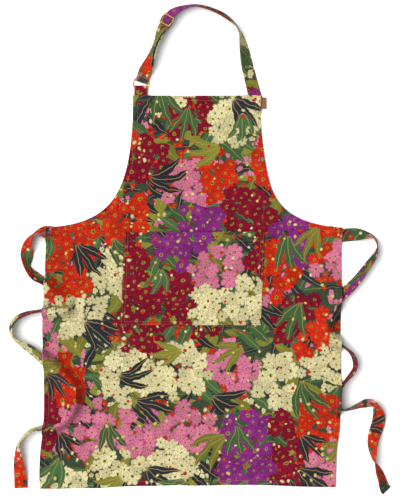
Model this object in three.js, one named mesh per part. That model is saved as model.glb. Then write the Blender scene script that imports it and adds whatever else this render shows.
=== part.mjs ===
// A bib apron laid face up on a table, as it is put away flat.
// Body and bib are one cut of cloth. A patch pocket is sewn to its front on three sides.
// Two waist ties leave the corners of the waist and run in and out beneath the body.
// The neck strap is sewn behind one corner of the bib. It runs through a slider, round a ring
// and back to the slider, and a short tab behind the other corner of the bib holds the ring.
// A blank folded label shows at the side seam of the bib.
// Millimetres, +Z up. The origin is on the table, in the middle of the whole piece.
import * as THREE from "three";

// Driving dimensions
const BODY = {
  length: 900, // hem to the top of the bib
  skirtWidth: 682,
  skirtLength: 597, // hem to the corners of the waist
  bibWidth: 294,
  bibStraight: 12, // the straight stretch of the side seam below the top of the bib
  cloth: 1.2,
  hemY: -547,
  topShift: -7, // where the middle of the bib's top edge lies
  lean: -17, // how far the middle line leans over the whole length
  kick: -5, // the hem's own further step to the left
  kickHeight: 130, // above the hem, where that step begins
};
const ARMHOLE = { bibPull: 205, waistPull: 162, waistRise: 8 }; // handles of the curve
const POCKET = { width: 322, depth: 214, topY: 39, centreX: -17, lean: 8.8, gape: 10 };
const TAPE = { width: 30, thick: 1.6 }; // folded and sewn strip of the ties, strap and tab
const WIRE = 2.5; // of the ring
const RING = { width: 38, depth: 23.6, corner: 8, x: -136, y: 379.2, turn: -9 };
const SLIDER = { width: 38, depth: 24.4, corner: 4, thick: 2, bar: 3.2, slot: 7.6, slotWidth: 31.8 };
const LABEL = { height: 26, out: 13, under: 9, thick: 0.8, turn: 0.9, drop: 18 };
const GAP = 0.4; // left between pieces that touch
const REST = 1.8; // left between the body and what it lies on, which the facets need
const TENT = { flat: 9, reach: 52 }; // how far the body stays up beside what it lies on
const UP = new THREE.Vector3(0, 0, 1);

// Courses of the tapes on the table, a row for each section.
// roll is the turn about the way it runs, in degrees: above 0 lifts its left edge.
// The lower edge lies on the table, or lift above it.
const LEFT_TIE = [
  { x: -338, y: 37, roll: 0 },
  { x: -357, y: 39, roll: 26 },
  { x: -369, y: 37.5, roll: 54 },
  { x: -381.5, y: 33, roll: 76 },
  { x: -390, y: 22, roll: 60 },
  { x: -395, y: 11, roll: 44 },
  { x: -397.5, y: -5, roll: 16 },
  { x: -397, y: -22, roll: -32 },
  { x: -395, y: -42, roll: -66 },
  { x: -378, y: -62, roll: -50 },
  { x: -360, y: -72, roll: -55 },
  { x: -340, y: -84, roll: -48 },
  { x: -322, y: -97, roll: -28 },
  { x: -308, y: -114, roll: 0 },
  { x: -317, y: -131, roll: 36 },
  { x: -338, y: -139, roll: 62 },
  { x: -361, y: -141, roll: 77 },
  { x: -380, y: -144, roll: 78 },
  { x: -398, y: -148, roll: 75 },
  { x: -418, y: -157, roll: 69 },
  { x: -430, y: -170, roll: 70 },
  { x: -434, y: -183, roll: 72 },
  { x: -433, y: -195, roll: 76 },
  { x: -427, y: -206, roll: 79 },
  { x: -414, y: -215.5, roll: 69 },
  { x: -389, y: -230, roll: 47 },
  { x: -375.5, y: -243, roll: 53 },
  { x: -362, y: -258, roll: 60 },
  { x: -340, y: -277, roll: 58 },
  { x: -316, y: -300, roll: 53 },
  { x: -297, y: -334, roll: 50 },
  { x: -309, y: -376, roll: 55 },
  { x: -336, y: -399, roll: 66 },
  { x: -361, y: -409, roll: 74 },
  { x: -391, y: -418.5, roll: 77 },
  { x: -405.5, y: -430.5, roll: 80 },
  { x: -413.5, y: -443, roll: 79 },
  { x: -417, y: -456, roll: 70 },
  { x: -417, y: -470, roll: 56 },
  { x: -416, y: -493, roll: 35 },
  { x: -413, y: -517, roll: 18 },
  { x: -411.5, y: -549.4, roll: 1 },
];
const RIGHT_TIE = [
  { x: 307, y: 31, roll: 0 },
  { x: 330, y: 31.5, roll: -2 },
  { x: 345, y: 33, roll: -8 },
  { x: 360, y: 33.5, roll: -22 },
  { x: 381, y: 32, roll: -54 },
  { x: 397.5, y: 27.5, roll: -77 },
  { x: 404.5, y: 18, roll: -79 },
  { x: 406.5, y: 3.6, roll: -88 },
  { x: 400, y: -15.5, roll: -107 },
  { x: 386, y: -36, roll: -119 },
  { x: 361, y: -70, roll: -128 },
  { x: 340, y: -92.5, roll: -138 },
  { x: 326, y: -106, roll: -138 },
  { x: 301, y: -131, roll: -133 },
  { x: 286, y: -155, roll: -128 },
  { x: 281, y: -181, roll: -118 },
  { x: 295, y: -205, roll: -106 },
  { x: 322, y: -218.3, roll: -98 },
  { x: 334.5, y: -228, roll: -99 },
  { x: 348, y: -240, roll: -103 },
  { x: 355.5, y: -258, roll: -106 },
  { x: 355.5, y: -272, roll: -105 },
  { x: 347.5, y: -286.5, roll: -104 },
  { x: 337, y: -298.5, roll: -99 },
  { x: 327, y: -312, roll: -97 },
  { x: 315, y: -330, roll: -95 },
  { x: 312, y: -350, roll: -95 },
  { x: 327, y: -368.7, roll: -98 },
  { x: 345, y: -366, roll: -108 },
  { x: 362.5, y: -359.5, roll: -119 },
  { x: 380, y: -354, roll: -134 },
  { x: 391, y: -353.5, roll: -130 },
  { x: 401, y: -358, roll: -116 },
  { x: 408, y: -371.5, roll: -132 },
  { x: 411, y: -388, roll: -164 },
  { x: 409, y: -402, roll: -170 },
  { x: 404, y: -416.5, roll: -165 },
  { x: 399, y: -431, roll: -151 },
  { x: 396, y: -446, roll: -137 },
  { x: 396, y: -460.5, roll: -123 },
  { x: 397.5, y: -475, roll: -109 },
  { x: 399, y: -485, roll: -97 },
  { x: 404.8, y: -498, roll: -72 },
  { x: 411, y: -512, roll: -56 },
  { x: 417, y: -527, roll: -48 },
  { x: 421.56, y: -541.67, roll: -40 },
  { x: 425.06, y: -550.17, roll: -33 },
  { x: 428.96, y: -554.77, roll: -29 },
];
const NECK_STRAP = [
  { x: 133, y: 328, roll: 0, lift: 0 },
  { x: 127, y: 350, roll: 0, lift: 0 },
  { x: 120, y: 376, roll: 14, lift: 0 },
  { x: 108, y: 423, roll: 26, lift: 0 },
  { x: 100, y: 465, roll: 48, lift: 0 },
  { x: 89, y: 503, roll: 78, lift: 0 },
  { x: 58, y: 534, roll: 68, lift: 0 },
  { x: 23, y: 551, roll: 70, lift: 0 },
  { x: -7, y: 558, roll: 72, lift: 0 },
  { x: -36, y: 554, roll: 66, lift: 1 },
  { x: -65.9, y: 539.9, roll: 42, lift: 6.9 },
  { x: -71, y: 532.4, roll: 42, lift: 6.9 },
  { x: -76, y: 525, roll: 42, lift: 6.9, at: "slider" },
  { x: -81, y: 517.6, roll: 42, lift: 6.9 },
  { x: -86.1, y: 510.1, roll: 42, lift: 6.9 },
  { x: -95, y: 485, roll: 68, lift: 3.6 },
  { x: -104, y: 462, roll: 74, lift: 2.8 },
  { x: -113, y: 438, roll: 60, lift: 2.8 },
  { x: -122, y: 416, roll: 30, lift: 2.8 },
  { x: -127.5, y: 403, roll: 3, lift: 2.8 },
  { x: -130.5, y: 395, roll: 0, lift: 2.6 },
  { x: -134.4, y: 384.9, roll: 0, lift: 2.5, at: "ring" },
];

// Bends a flat slab of cloth: place gets each point's run across, run along and side, and moves it.
function bentCloth(columns, rows, place) {
  const slab = new THREE.BoxGeometry(2, 1, 2, columns, rows, 1);
  const { start, count } = slab.groups[5]; // its underside, to be split along the same diagonals
  for (let i = start; i < start + count; i += 6) {
    const [a, b, d, , c] = slab.index.array.slice(i, i + 6);
    slab.index.array.set([a, b, c, a, c, d], i);
  }
  const position = slab.getAttribute("position");
  for (let i = 0; i < position.count; i++) {
    const at = place(position.getX(i), position.getY(i) + 0.5, position.getZ(i));
    position.setXYZ(i, at.x, at.y, at.z);
  }
  slab.computeVertexNormals();
  return slab;
}

// A tape's course: its length, and its place and directions at any distance along it.
function course(rows) {
  const line = new THREE.CatmullRomCurve3(rows.map((r) => new THREE.Vector3(r.x, r.y, 0)));
  const stance = new THREE.CatmullRomCurve3(
    rows.map((r) => new THREE.Vector3(r.roll, r.lift ?? 0, 0)),
    false,
    "catmullrom",
  );
  line.arcLengthDivisions = 40 * rows.length;
  const lengths = line.getLengths();
  const length = line.getLength();
  const reach = (name) => {
    const share = rows.findIndex((r) => r.at === name) / (rows.length - 1);
    return lengths[Math.round(share * line.arcLengthDivisions)];
  };
  const frame = (distance) => {
    const t = line.getUtoTmapping(THREE.MathUtils.clamp(distance / length, 0, 1));
    const along = line.getTangent(t);
    const { x: degrees, y: lift } = stance.getPoint(t);
    const roll = THREE.MathUtils.degToRad(degrees);
    const across = new THREE.Vector3(along.y, -along.x, 0);
    across.multiplyScalar(Math.cos(roll)).addScaledVector(UP, -Math.sin(roll));
    const face = new THREE.Vector3().crossVectors(across, along);
    const rise = TAPE.width * Math.abs(Math.sin(roll)) + TAPE.thick * Math.abs(Math.cos(roll));
    const at = line.getPoint(t).setZ(rise / 2 + Math.max(lift, 0));
    at.addScaledVector(along, distance - THREE.MathUtils.clamp(distance, 0, length));
    return { at, along, across, face, top: rise + Math.max(lift, 0) };
  };
  return { length, reach, frame };
}

// A tape laid along a course.
function laidTape(way, rows) {
  return bentCloth(1, rows, (u, v, side) => {
    const { at, across, face } = way.frame(v * way.length);
    return at
      .addScaledVector(across, (u * TAPE.width) / 2)
      .addScaledVector(face, (side * TAPE.thick) / 2);
  });
}

// A strip that runs along a side view: rows of distance along a course and height off its face.
function stripOnSideView(sideView, rows, width, thick, frame) {
  const path = new THREE.CatmullRomCurve3(sideView.map(([s, h]) => new THREE.Vector3(s, h, 0)));
  return bentCloth(1, rows, (u, v, side) => {
    const spot = path.getPoint(v);
    const heading = path.getTangent(v);
    const { at, along, across, face } = frame(spot.x);
    return at
      .addScaledVector(face, spot.y + (heading.x * side * thick) / 2)
      .addScaledVector(along, (-heading.y * side * thick) / 2)
      .addScaledVector(across, (u * width) / 2);
  });
}

// A half turn in a side view, about a point, from above it to below it.
function halfTurn(centre, height, radius, steps) {
  return Array.from({ length: steps + 1 }, (_, k) => {
    const angle = Math.PI / 2 - (Math.PI * k) / steps;
    return [centre + radius * Math.cos(angle), height + radius * Math.sin(angle)];
  });
}

// Even steps in a side view, from one distance to another at one height, both ends left out.
function evenRun(from, to, height, steps) {
  return Array.from({ length: steps - 1 }, (_, k) => {
    return [from + ((to - from) * (k + 1)) / steps, height];
  });
}

// The outline of the body: half its width and its height above the hem, from hem to bib.
const half = { skirt: BODY.skirtWidth / 2, bib: BODY.bibWidth / 2 };
const bibFoot = BODY.length - BODY.bibStraight;
const sideSeam = [
  new THREE.LineCurve(
    new THREE.Vector2(half.skirt, 0),
    new THREE.Vector2(half.skirt, BODY.skirtLength),
  ),
  new THREE.CubicBezierCurve(
    new THREE.Vector2(half.skirt, BODY.skirtLength),
    new THREE.Vector2(half.skirt - ARMHOLE.waistPull, BODY.skirtLength + ARMHOLE.waistRise),
    new THREE.Vector2(half.bib, bibFoot - ARMHOLE.bibPull),
    new THREE.Vector2(half.bib, bibFoot),
  ),
  new THREE.LineCurve(
    new THREE.Vector2(half.bib, bibFoot),
    new THREE.Vector2(half.bib, BODY.length),
  ),
];
const SEAM_ROWS = [25, 13, 1]; // rows of the body along each stretch of the seam
const BODY_ROWS = SEAM_ROWS.reduce((sum, rows) => sum + rows);
const BODY_COLUMNS = 30;
const EDGE_CROWDING = 1.5; // sets the body's columns closer together near the seams

function seamAt(row) {
  let first = 0;
  for (let k = 0; k < sideSeam.length; k++) {
    if (row <= first + SEAM_ROWS[k]) return sideSeam[k].getPoint((row - first) / SEAM_ROWS[k]);
    first += SEAM_ROWS[k];
  }
  return sideSeam.at(-1).getPoint(1);
}

// Where the middle line lies at a height above the hem.
function middle(height) {
  const lean = BODY.lean * (1 - height / BODY.length);
  return BODY.topShift + lean + BODY.kick * (1 - THREE.MathUtils.smoothstep(height, 0, BODY.kickHeight));
}

// Half the body's width at a height above the hem.
function halfWidth(height) {
  if (height <= BODY.skirtLength) return half.skirt;
  let low = 0;
  let high = 1;
  for (let k = 0; k < 24; k++) {
    const t = (low + high) / 2;
    if (sideSeam[1].getPoint(t).y < height) low = t;
    else high = t;
  }
  return sideSeam[1].getPoint(low).x;
}

// The courses, and the ring tab and label in their own side views
const leftWay = course(LEFT_TIE);
const rightWay = course(RIGHT_TIE);
const neckWay = course(NECK_STRAP);
const wrap = WIRE / 2 + GAP + TAPE.thick / 2; // a tape's middle round the wire
const bibTop = BODY.hemY + BODY.length;
const TAB_TUCK = 24; // how far the tab reaches below the top of the bib
const barY = RING.y - RING.depth / 2 + WIRE / 2; // of the ring's lower bar
const barSlant = (TAPE.width / 2) * Math.tan(THREE.MathUtils.degToRad(Math.abs(RING.turn)));
const tabFold = barY + barSlant + 1.5; // clear of the ring's rounded corners
const labelX = middle(BODY.length) + half.bib;
const labelBase = TAPE.thick + 3 * GAP; // it lies on the end of the neck strap

function tabFrame(distance) {
  return {
    at: new THREE.Vector3(RING.x, distance, 0),
    along: new THREE.Vector3(0, 1, 0),
    across: new THREE.Vector3(1, 0, 0),
    face: UP.clone(),
  };
}

function labelFrame(distance) {
  return {
    at: new THREE.Vector3(distance, bibTop - LABEL.drop, labelBase),
    along: new THREE.Vector3(1, 0, 0),
    across: new THREE.Vector3(0, -1, 0),
    face: UP.clone(),
  };
}

// What the body lies on: straight sections on the table, each with the height of its top.
function isUnder(spot) {
  const height = spot.y - BODY.hemY;
  const across = Math.abs(spot.x - middle(height));
  return height > 0 && height < BODY.length && across < halfWidth(height) + REST;
}

function sectionsOf(way, spacing) {
  const found = [];
  for (let s = 0; s <= way.length; s += spacing) {
    const { at, across, top: rise } = way.frame(s);
    const sewn = 1 - THREE.MathUtils.smoothstep(s, SEWN / 2, SEWN);
    const top = rise - (REST - 1.5 * GAP) * sewn; // the sewn end lies closer to the body
    const reach = new THREE.Vector2(across.x, across.y).multiplyScalar(TAPE.width / 2);
    const spot = new THREE.Vector2(at.x, at.y);
    const from = spot.clone().sub(reach);
    const to = spot.clone().add(reach);
    if ([from, spot, to].some(isUnder)) found.push({ from, to, top });
  }
  return found;
}

function flatSection(x0, x1, y, top) {
  return { from: new THREE.Vector2(x0, y), to: new THREE.Vector2(x1, y), top };
}

const SECTION_SPACING = 4;
const SEWN = 60; // length of a tie's sewn end
const tabTop = 2 * TAPE.thick + GAP;
const labelTop = labelBase + LABEL.thick + 2 * LABEL.turn;
const under = [leftWay, rightWay, neckWay].flatMap((way) => sectionsOf(way, SECTION_SPACING));
for (let y = bibTop - TAB_TUCK; y <= bibTop; y += SECTION_SPACING) {
  const rise = THREE.MathUtils.smoothstep(y, bibTop - TAB_TUCK / 2, bibTop) * GAP * 2;
  const top = tabTop + rise + 2 * GAP - REST; // a flat piece needs less room
  under.push(flatSection(RING.x - TAPE.width / 2, RING.x + TAPE.width / 2, y, top));
}
for (let k = -1; k <= 1; k++) {
  const y = bibTop - LABEL.drop + (k * LABEL.height) / 2;
  under.push(flatSection(labelX - LABEL.under, labelX, y, labelTop));
}

// How far a point lies from a section.
function distanceTo(section, x, y) {
  const run = section.to.clone().sub(section.from);
  const share = ((x - section.from.x) * run.x + (y - section.from.y) * run.y) / run.lengthSq();
  const nearest = section.from.clone().addScaledVector(run, THREE.MathUtils.clamp(share, 0, 1));
  return Math.hypot(x - nearest.x, y - nearest.y);
}

// The height of the body's underside, which tents over what it lies on.
function underside(x, y) {
  let height = 0;
  for (const section of under) {
    const away = distanceTo(section, x, y);
    const share = 1 - THREE.MathUtils.smoothstep(away, TENT.flat, TENT.reach);
    height = Math.max(height, (section.top + REST) * share);
  }
  return height;
}

function bodyPanel() {
  return bentCloth(BODY_COLUMNS, BODY_ROWS, (u, v, side) => {
    const seam = seamAt(Math.round(v * BODY_ROWS));
    const share = Math.sign(u) * (1 - (1 - Math.abs(u)) ** EDGE_CROWDING);
    const x = middle(seam.y) + seam.x * share;
    const y = BODY.hemY + seam.y;
    return new THREE.Vector3(x, y, underside(x, y) + ((side + 1) * BODY.cloth) / 2);
  });
}

// A patch that lies on the body along its three seams and gapes a little at its mouth.
function pocketPatch() {
  const COLUMNS = 14;
  const ROWS = 8;
  return bentCloth(COLUMNS, ROWS, (u, v, side) => {
    const gape = POCKET.gape * (1 - u * u) ** 2 * v ** 1.4;
    const x = POCKET.centreX + (u * POCKET.width) / 2 + POCKET.lean * (v - 0.5);
    const y = POCKET.topY - POCKET.depth * (1 - v);
    const z = BODY.cloth + GAP + gape + ((side + 1) * BODY.cloth) / 2;
    return new THREE.Vector3(x, y, z);
  });
}

function neckStrap() {
  const slider = neckWay.reach("slider");
  const ring = neckWay.reach("ring");
  const step = TAPE.thick + GAP; // from one layer to the next
  const passUnder = -(SLIDER.thick + step) / 2 - GAP; // beneath the outer bars
  const curl = 3.1; // the sewn end round the middle bar
  const curlHeight = -0.4;
  const passOver = curlHeight + curl + step; // the strap, over the sewn end
  const pair = 2.6; // half the distance between the two runs from slider to ring
  const edge = SLIDER.bar / 2 + SLIDER.slot; // the inner edge of an outer bar
  const REACH = 36; // how far from the slider the runs settle
  const SPREAD = 16; // how far from the ring the runs part
  const overBars = (way) => [
    [slider + way * (edge + 7), passUnder],
    [slider + way * (edge + 0.6), passUnder],
    [slider + way * (edge - 1.4), passUnder + 0.5],
    [slider + way * (edge - 3.8), passUnder + 3.6],
    [slider + way * 2.6, passOver - 0.6],
  ];
  const sideView = [
    [0, 0],
    ...evenRun(0, slider - REACH, 0, 22),
    [slider - REACH, 0],
    ...overBars(-1),
    [slider, passOver],
    ...overBars(1).reverse(),
    [slider + REACH, pair],
    ...evenRun(slider + REACH, ring - SPREAD, pair, 7),
    [ring - SPREAD, wrap],
    ...halfTurn(ring, 0, wrap, 6),
    [ring - SPREAD, -wrap],
    ...evenRun(ring - SPREAD, slider + REACH, -pair, 7),
    [slider + REACH, -pair],
    [slider + edge + 7, passUnder - step],
    [slider + edge, passUnder - step],
    [slider + 5.5, passUnder - step + 0.5],
    [slider + 3.5, passUnder + 0.2],
    ...halfTurn(slider, curlHeight, curl, 6)
      .map(([s, h]) => [slider + curlHeight - h, curlHeight + s - slider])
      .reverse(),
    [slider - 3, passUnder],
    [slider - 1.5, passUnder - step - 0.4],
    [slider + 1.5, passUnder - 2 * step],
    [slider + edge, passUnder - 2 * step],
    [slider + edge + 9, passUnder - 2 * step],
  ];
  const ROWS = 2 * (sideView.length - 1);
  return stripOnSideView(sideView, ROWS, TAPE.width, TAPE.thick, neckWay.frame);
}

function ringTab() {
  const low = (TAPE.thick + 0.1) / 2;
  const centre = low + wrap;
  const high = low + TAPE.thick + GAP;
  const sideView = [
    [bibTop - TAB_TUCK, high],
    [bibTop - TAB_TUCK / 2, high],
    [bibTop, high + 2 * GAP],
    [barY - barSlant - 3, centre + wrap],
    ...halfTurn(tabFold, centre, wrap, 6),
    [tabFold - 3, low],
    [bibTop, low],
    [bibTop - TAB_TUCK / 2, low],
    [bibTop - TAB_TUCK, low],
  ];
  const ROWS = 2 * (sideView.length - 1);
  return stripOnSideView(sideView, ROWS, TAPE.width, TAPE.thick, tabFrame);
}

function foldedLabel() {
  const low = LABEL.thick / 2;
  const high = low + 2 * LABEL.turn;
  const fold = labelX + LABEL.out - LABEL.turn - low;
  const sideView = [
    [labelX - LABEL.under, high],
    [labelX, high],
    [fold - 1, high],
    ...halfTurn(fold, low + LABEL.turn, LABEL.turn, 6),
    [fold - 1, low],
    [labelX, low],
    [labelX - LABEL.under, low],
  ];
  const ROWS = 2 * (sideView.length - 1);
  return stripOnSideView(sideView, ROWS, LABEL.height, LABEL.thick, labelFrame);
}

function roundedRectangle(width, depth, corner, kind = THREE.Shape) {
  const x = width / 2 - corner;
  const y = depth / 2 - corner;
  const outline = new kind();
  outline.moveTo(x, -depth / 2);
  outline.absarc(x, -y, corner, -Math.PI / 2, 0);
  outline.absarc(x, y, corner, 0, Math.PI / 2);
  outline.absarc(-x, y, corner, Math.PI / 2, Math.PI);
  outline.absarc(-x, -y, corner, Math.PI, 1.5 * Math.PI);
  outline.closePath();
  return outline;
}

// A closed loop of wire, from a plain hoop whose line is moved onto the outline.
function wireLoop() {
  const HOOP = 100;
  const outline = roundedRectangle(RING.width - WIRE, RING.depth - WIRE, RING.corner - WIRE / 2);
  const loop = new THREE.TorusGeometry(HOOP, WIRE / 2, 8, 36);
  const position = loop.getAttribute("position");
  for (let i = 0; i < position.count; i++) {
    const [x, y] = [position.getX(i), position.getY(i)];
    const share = (Math.atan2(y, x) / (2 * Math.PI) + 1) % 1;
    const spot = outline.getPointAt(share);
    const heading = outline.getTangentAt(share);
    const out = Math.hypot(x, y) - HOOP;
    position.setXY(i, spot.x + heading.y * out, spot.y - heading.x * out);
  }
  loop.computeVertexNormals();
  return loop;
}

function sliderPlate() {
  const plate = roundedRectangle(SLIDER.width, SLIDER.depth, SLIDER.corner);
  for (const way of [-1, 1]) {
    const slot = roundedRectangle(SLIDER.slotWidth, SLIDER.slot, 1.5, THREE.Path);
    const centre = (way * (SLIDER.bar + SLIDER.slot)) / 2;
    plate.holes.push(new THREE.Path(slot.getPoints(3).map((p) => p.setY(p.y + centre))));
  }
  const depth = SLIDER.thick;
  return new THREE.ExtrudeGeometry(plate, { depth, bevelEnabled: false, curveSegments: 4 }).translate(
    0,
    0,
    -depth / 2,
  );
}

const printedCloth = new THREE.MeshStandardMaterial({ color: 0xb5483c, roughness: 0.9, metalness: 0 });
const paleBrass = new THREE.MeshStandardMaterial({ color: 0xd9a860, roughness: 0.3, metalness: 1 });
const labelTape = new THREE.MeshStandardMaterial({ color: 0xa5604f, roughness: 0.8, metalness: 0 });

function piece(name, geometry, material) {
  const mesh = new THREE.Mesh(geometry, material);
  mesh.name = name;
  return mesh;
}

const TIE_ROWS = 110;
const ring = piece("strap_ring", wireLoop(), paleBrass);
ring.position.set(RING.x, RING.y, TAPE.thick / 2 + wrap);
ring.rotation.z = THREE.MathUtils.degToRad(RING.turn);

const slider = piece("strap_slider", sliderPlate(), paleBrass);
const seat = neckWay.frame(neckWay.reach("slider"));
slider.position.copy(seat.at);
slider.quaternion.setFromRotationMatrix(
  new THREE.Matrix4().makeBasis(seat.across, seat.along, seat.face),
);

const apron = new THREE.Group();
apron.add(
  piece("body", bodyPanel(), printedCloth),
  piece("pocket", pocketPatch(), printedCloth),
  piece("left_tie", laidTape(leftWay, TIE_ROWS), printedCloth),
  piece("right_tie", laidTape(rightWay, TIE_ROWS), printedCloth),
  piece("neck_strap", neckStrap(), printedCloth),
  piece("ring_tab", ringTab(), printedCloth),
  ring,
  slider,
  piece("side_label", foldedLabel(), labelTape),
);

export default apron;
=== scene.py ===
# %% [markdown]
# # A printed bib apron, laid flat
# This lesson dresses a plain CAD apron in cloth. The CAD model says where everything lies. Blender
# adds what cloth really shows: a drape over the ties beneath it, hems and stitches, a printed
# pattern that follows the cut, and brass fittings. The first cell loads the CAD model as a fixed
# frame. Its box is kept, because the dressed apron may not outgrow it. Its box is kept, and the
# last cell prints it beside the dressed apron's box.

# %% Load the frame
import math

import bpy
import numpy as np
from mathutils import Matrix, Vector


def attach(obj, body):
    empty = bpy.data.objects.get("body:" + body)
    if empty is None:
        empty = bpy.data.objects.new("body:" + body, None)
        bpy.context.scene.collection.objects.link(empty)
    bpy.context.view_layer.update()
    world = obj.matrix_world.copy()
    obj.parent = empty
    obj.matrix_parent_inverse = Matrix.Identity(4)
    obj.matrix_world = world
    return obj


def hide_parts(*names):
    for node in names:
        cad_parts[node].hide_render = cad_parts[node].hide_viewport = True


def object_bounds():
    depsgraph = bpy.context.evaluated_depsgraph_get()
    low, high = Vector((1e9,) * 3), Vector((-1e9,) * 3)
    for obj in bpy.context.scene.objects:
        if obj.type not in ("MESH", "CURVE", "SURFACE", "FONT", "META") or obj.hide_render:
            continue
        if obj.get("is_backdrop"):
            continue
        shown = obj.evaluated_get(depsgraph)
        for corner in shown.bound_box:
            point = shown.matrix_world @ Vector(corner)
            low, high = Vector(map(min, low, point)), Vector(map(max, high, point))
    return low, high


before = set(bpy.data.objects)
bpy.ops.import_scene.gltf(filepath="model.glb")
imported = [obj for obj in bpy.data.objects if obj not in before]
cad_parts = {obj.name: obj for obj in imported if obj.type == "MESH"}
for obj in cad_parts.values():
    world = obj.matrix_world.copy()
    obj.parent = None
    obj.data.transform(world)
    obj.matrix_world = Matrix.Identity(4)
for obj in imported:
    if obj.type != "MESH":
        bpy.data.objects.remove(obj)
CAD_BOX = [list(corner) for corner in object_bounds()]
MM = 0.001
print("CAD nodes:", ", ".join(sorted(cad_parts)))

# %% [markdown]
# ## The camera, the table and the light
# The apron is seen from straight above. A long lens far away keeps its edges parallel, and the
# lens follows from two numbers: how much table a pixel shows, and how high the camera hangs. The
# table is a plain pale plane. One wide, slightly warm sun from the left draws soft shadows, and an
# even, slightly cool sky fills them in. A sun is used because it lights the whole table evenly.

# %% Camera, table and light
PICTURE_HEIGHT = 500  # pixels on the long side
TABLE_PER_PIXEL = 2.3 * MM
CAMERA_HEIGHT = 4.2
PICTURE_CENTRE = (0.0, -TABLE_PER_PIXEL)
BELOW_APRON = 0.2 * MM
SUN_STRENGTH = 4.4
SUN_WIDTH = math.radians(55)  # the wider the sun, the softer its shadows
SUN_TURN = (0, math.radians(-33), math.radians(-2))
SUN_COLOUR = (1, 0.985, 0.96)
SKY_STRENGTH = 0.56
SKY_COLOUR = (0.9, 0.97, 1, 1)

bpy.ops.object.camera_add(location=(*PICTURE_CENTRE, CAMERA_HEIGHT), rotation=(0, 0, 0))
camera = bpy.context.object
camera.data.sensor_width = 36
camera.data.lens = camera.data.sensor_width * CAMERA_HEIGHT / (PICTURE_HEIGHT * TABLE_PER_PIXEL)
bpy.context.scene.camera = camera

bpy.ops.mesh.primitive_plane_add(size=40, location=(0, 0, -BELOW_APRON))
table = bpy.context.object
table.name = "table"
table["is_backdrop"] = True

bpy.ops.object.light_add(type="SUN", location=(-2, 2, 4))
sun = bpy.context.object
sun.data.energy = SUN_STRENGTH
sun.data.angle = SUN_WIDTH
sun.data.color = SUN_COLOUR
sun.rotation_euler = SUN_TURN

world = bpy.data.worlds.new("even_sky")
world.use_nodes = True
background = world.node_tree.nodes["Background"]
background.inputs["Color"].default_value = SKY_COLOUR
background.inputs["Strength"].default_value = SKY_STRENGTH
bpy.context.scene.world = world
bpy.context.scene.view_settings.view_transform = "Standard"
print(f"lens {camera.data.lens:.0f} mm at {CAMERA_HEIGHT} m")

# %% [markdown]
# ## Shader maths in plain Python
# A printed pattern needs a lot of small sums in the shader. Wiring each Math node by hand hides the
# idea, so a small class wraps a socket: adding, multiplying or comparing two wires adds the node
# that does it. Everything else, from noise to colour mixing, comes from one method that takes the
# node's type, its settings and its sockets.


# %% Wires
class Wire:
    """One output of a node, which Python's arithmetic can be used on."""

    def __init__(self, finish, socket):
        self.finish = finish
        self.socket = socket

    def out(self, name):
        return Wire(self.finish, self.socket.node.outputs[name])

    def sum(self, operation, *values):
        """A Math node on these values, or on this wire alone."""
        sockets = dict(enumerate(values or (self,)))
        return self.finish.node("Math", {"operation": operation}, sockets)

    def __add__(self, other):
        return self.sum("ADD", self, other)

    def __radd__(self, other):
        return self.sum("ADD", other, self)

    def __sub__(self, other):
        return self.sum("SUBTRACT", self, other)

    def __rsub__(self, other):
        return self.sum("SUBTRACT", other, self)

    def __mul__(self, other):
        return self.sum("MULTIPLY", self, other)

    def __rmul__(self, other):
        return self.sum("MULTIPLY", other, self)

    def __truediv__(self, other):
        return self.sum("DIVIDE", self, other)

    def __pow__(self, other):
        return self.sum("POWER", self, other)

    def __abs__(self):
        return self.sum("ABSOLUTE", self)

    def __lt__(self, other):
        return self.sum("LESS_THAN", self, other)

    def __gt__(self, other):
        return self.sum("GREATER_THAN", self, other)

    def rise(self, low, high):
        """A smooth step from 0 at low to 1 at high."""
        sockets = {"Value": self, "From Min": low, "From Max": high}
        return self.finish.node("MapRange", {"interpolation_type": "SMOOTHSTEP"}, sockets)


# %% Finishes
class Finish:
    """A material, and the one method that adds nodes to it."""

    def __init__(self, name):
        self.material = bpy.data.materials.new(name)
        self.material.use_nodes = True
        self.tree = self.material.node_tree
        self.shader = self.tree.nodes["Principled BSDF"]

    def node(self, kind, settings=None, sockets=None, output=0):
        """Adds a node, with numbers or wires for its sockets, and gives one of its outputs."""
        made = self.tree.nodes.new("ShaderNode" + kind)
        for name, value in (settings or {}).items():
            if name == "stops":
                fill_ramp(made.color_ramp, value)
            else:
                setattr(made, name, value)
        for key, value in (sockets or {}).items():
            self.feed(made.inputs[key], value)
        return Wire(self, made.outputs[output])

    def feed(self, socket, value):
        if isinstance(value, Wire):
            self.tree.links.new(value.socket, socket)
        else:
            socket.default_value = value

    def mix(self, share, first, second):
        """A colour between two colours."""
        return self.node("Mix", {"data_type": "RGBA"}, {0: share, 6: first, 7: second}, 2)

    def scaled(self, colour, by):
        """A colour made lighter or darker."""
        return self.node("VectorMath", {"operation": "SCALE"}, {0: colour, "Scale": by})

    def vector(self, operation, *values):
        sockets = dict(enumerate(values))
        return self.node("VectorMath", {"operation": operation}, sockets)

    def parts(self, vector):
        """The three numbers of a vector or a colour."""
        split = self.node("SeparateXYZ", None, {0: vector})
        return split.out("X"), split.out("Y"), split.out("Z")

    def set(self, **values):
        """Numbers, colours or wires for the shader's own sockets."""
        for name, value in values.items():
            self.feed(self.shader.inputs[name.replace("_", " ")], value)


def fill_ramp(ramp, stops):
    """Stops that hold their colour up to the next one."""
    ramp.interpolation = "CONSTANT"
    while len(ramp.elements) < len(stops):
        ramp.elements.new(1.0)
    for element, (place, colour) in zip(ramp.elements, stops):
        element.position = place
        element.color = colour


# %% The finish of the table
def paint(red, green, blue):
    """A colour as picked on a screen, from 0 to 255, as the linear numbers that shaders take."""
    def linear(value):
        share = value / 255
        return share / 12.92 if share <= 0.04045 else ((share + 0.055) / 1.055) ** 2.4

    return (linear(red), linear(green), linear(blue), 1.0)


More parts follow.
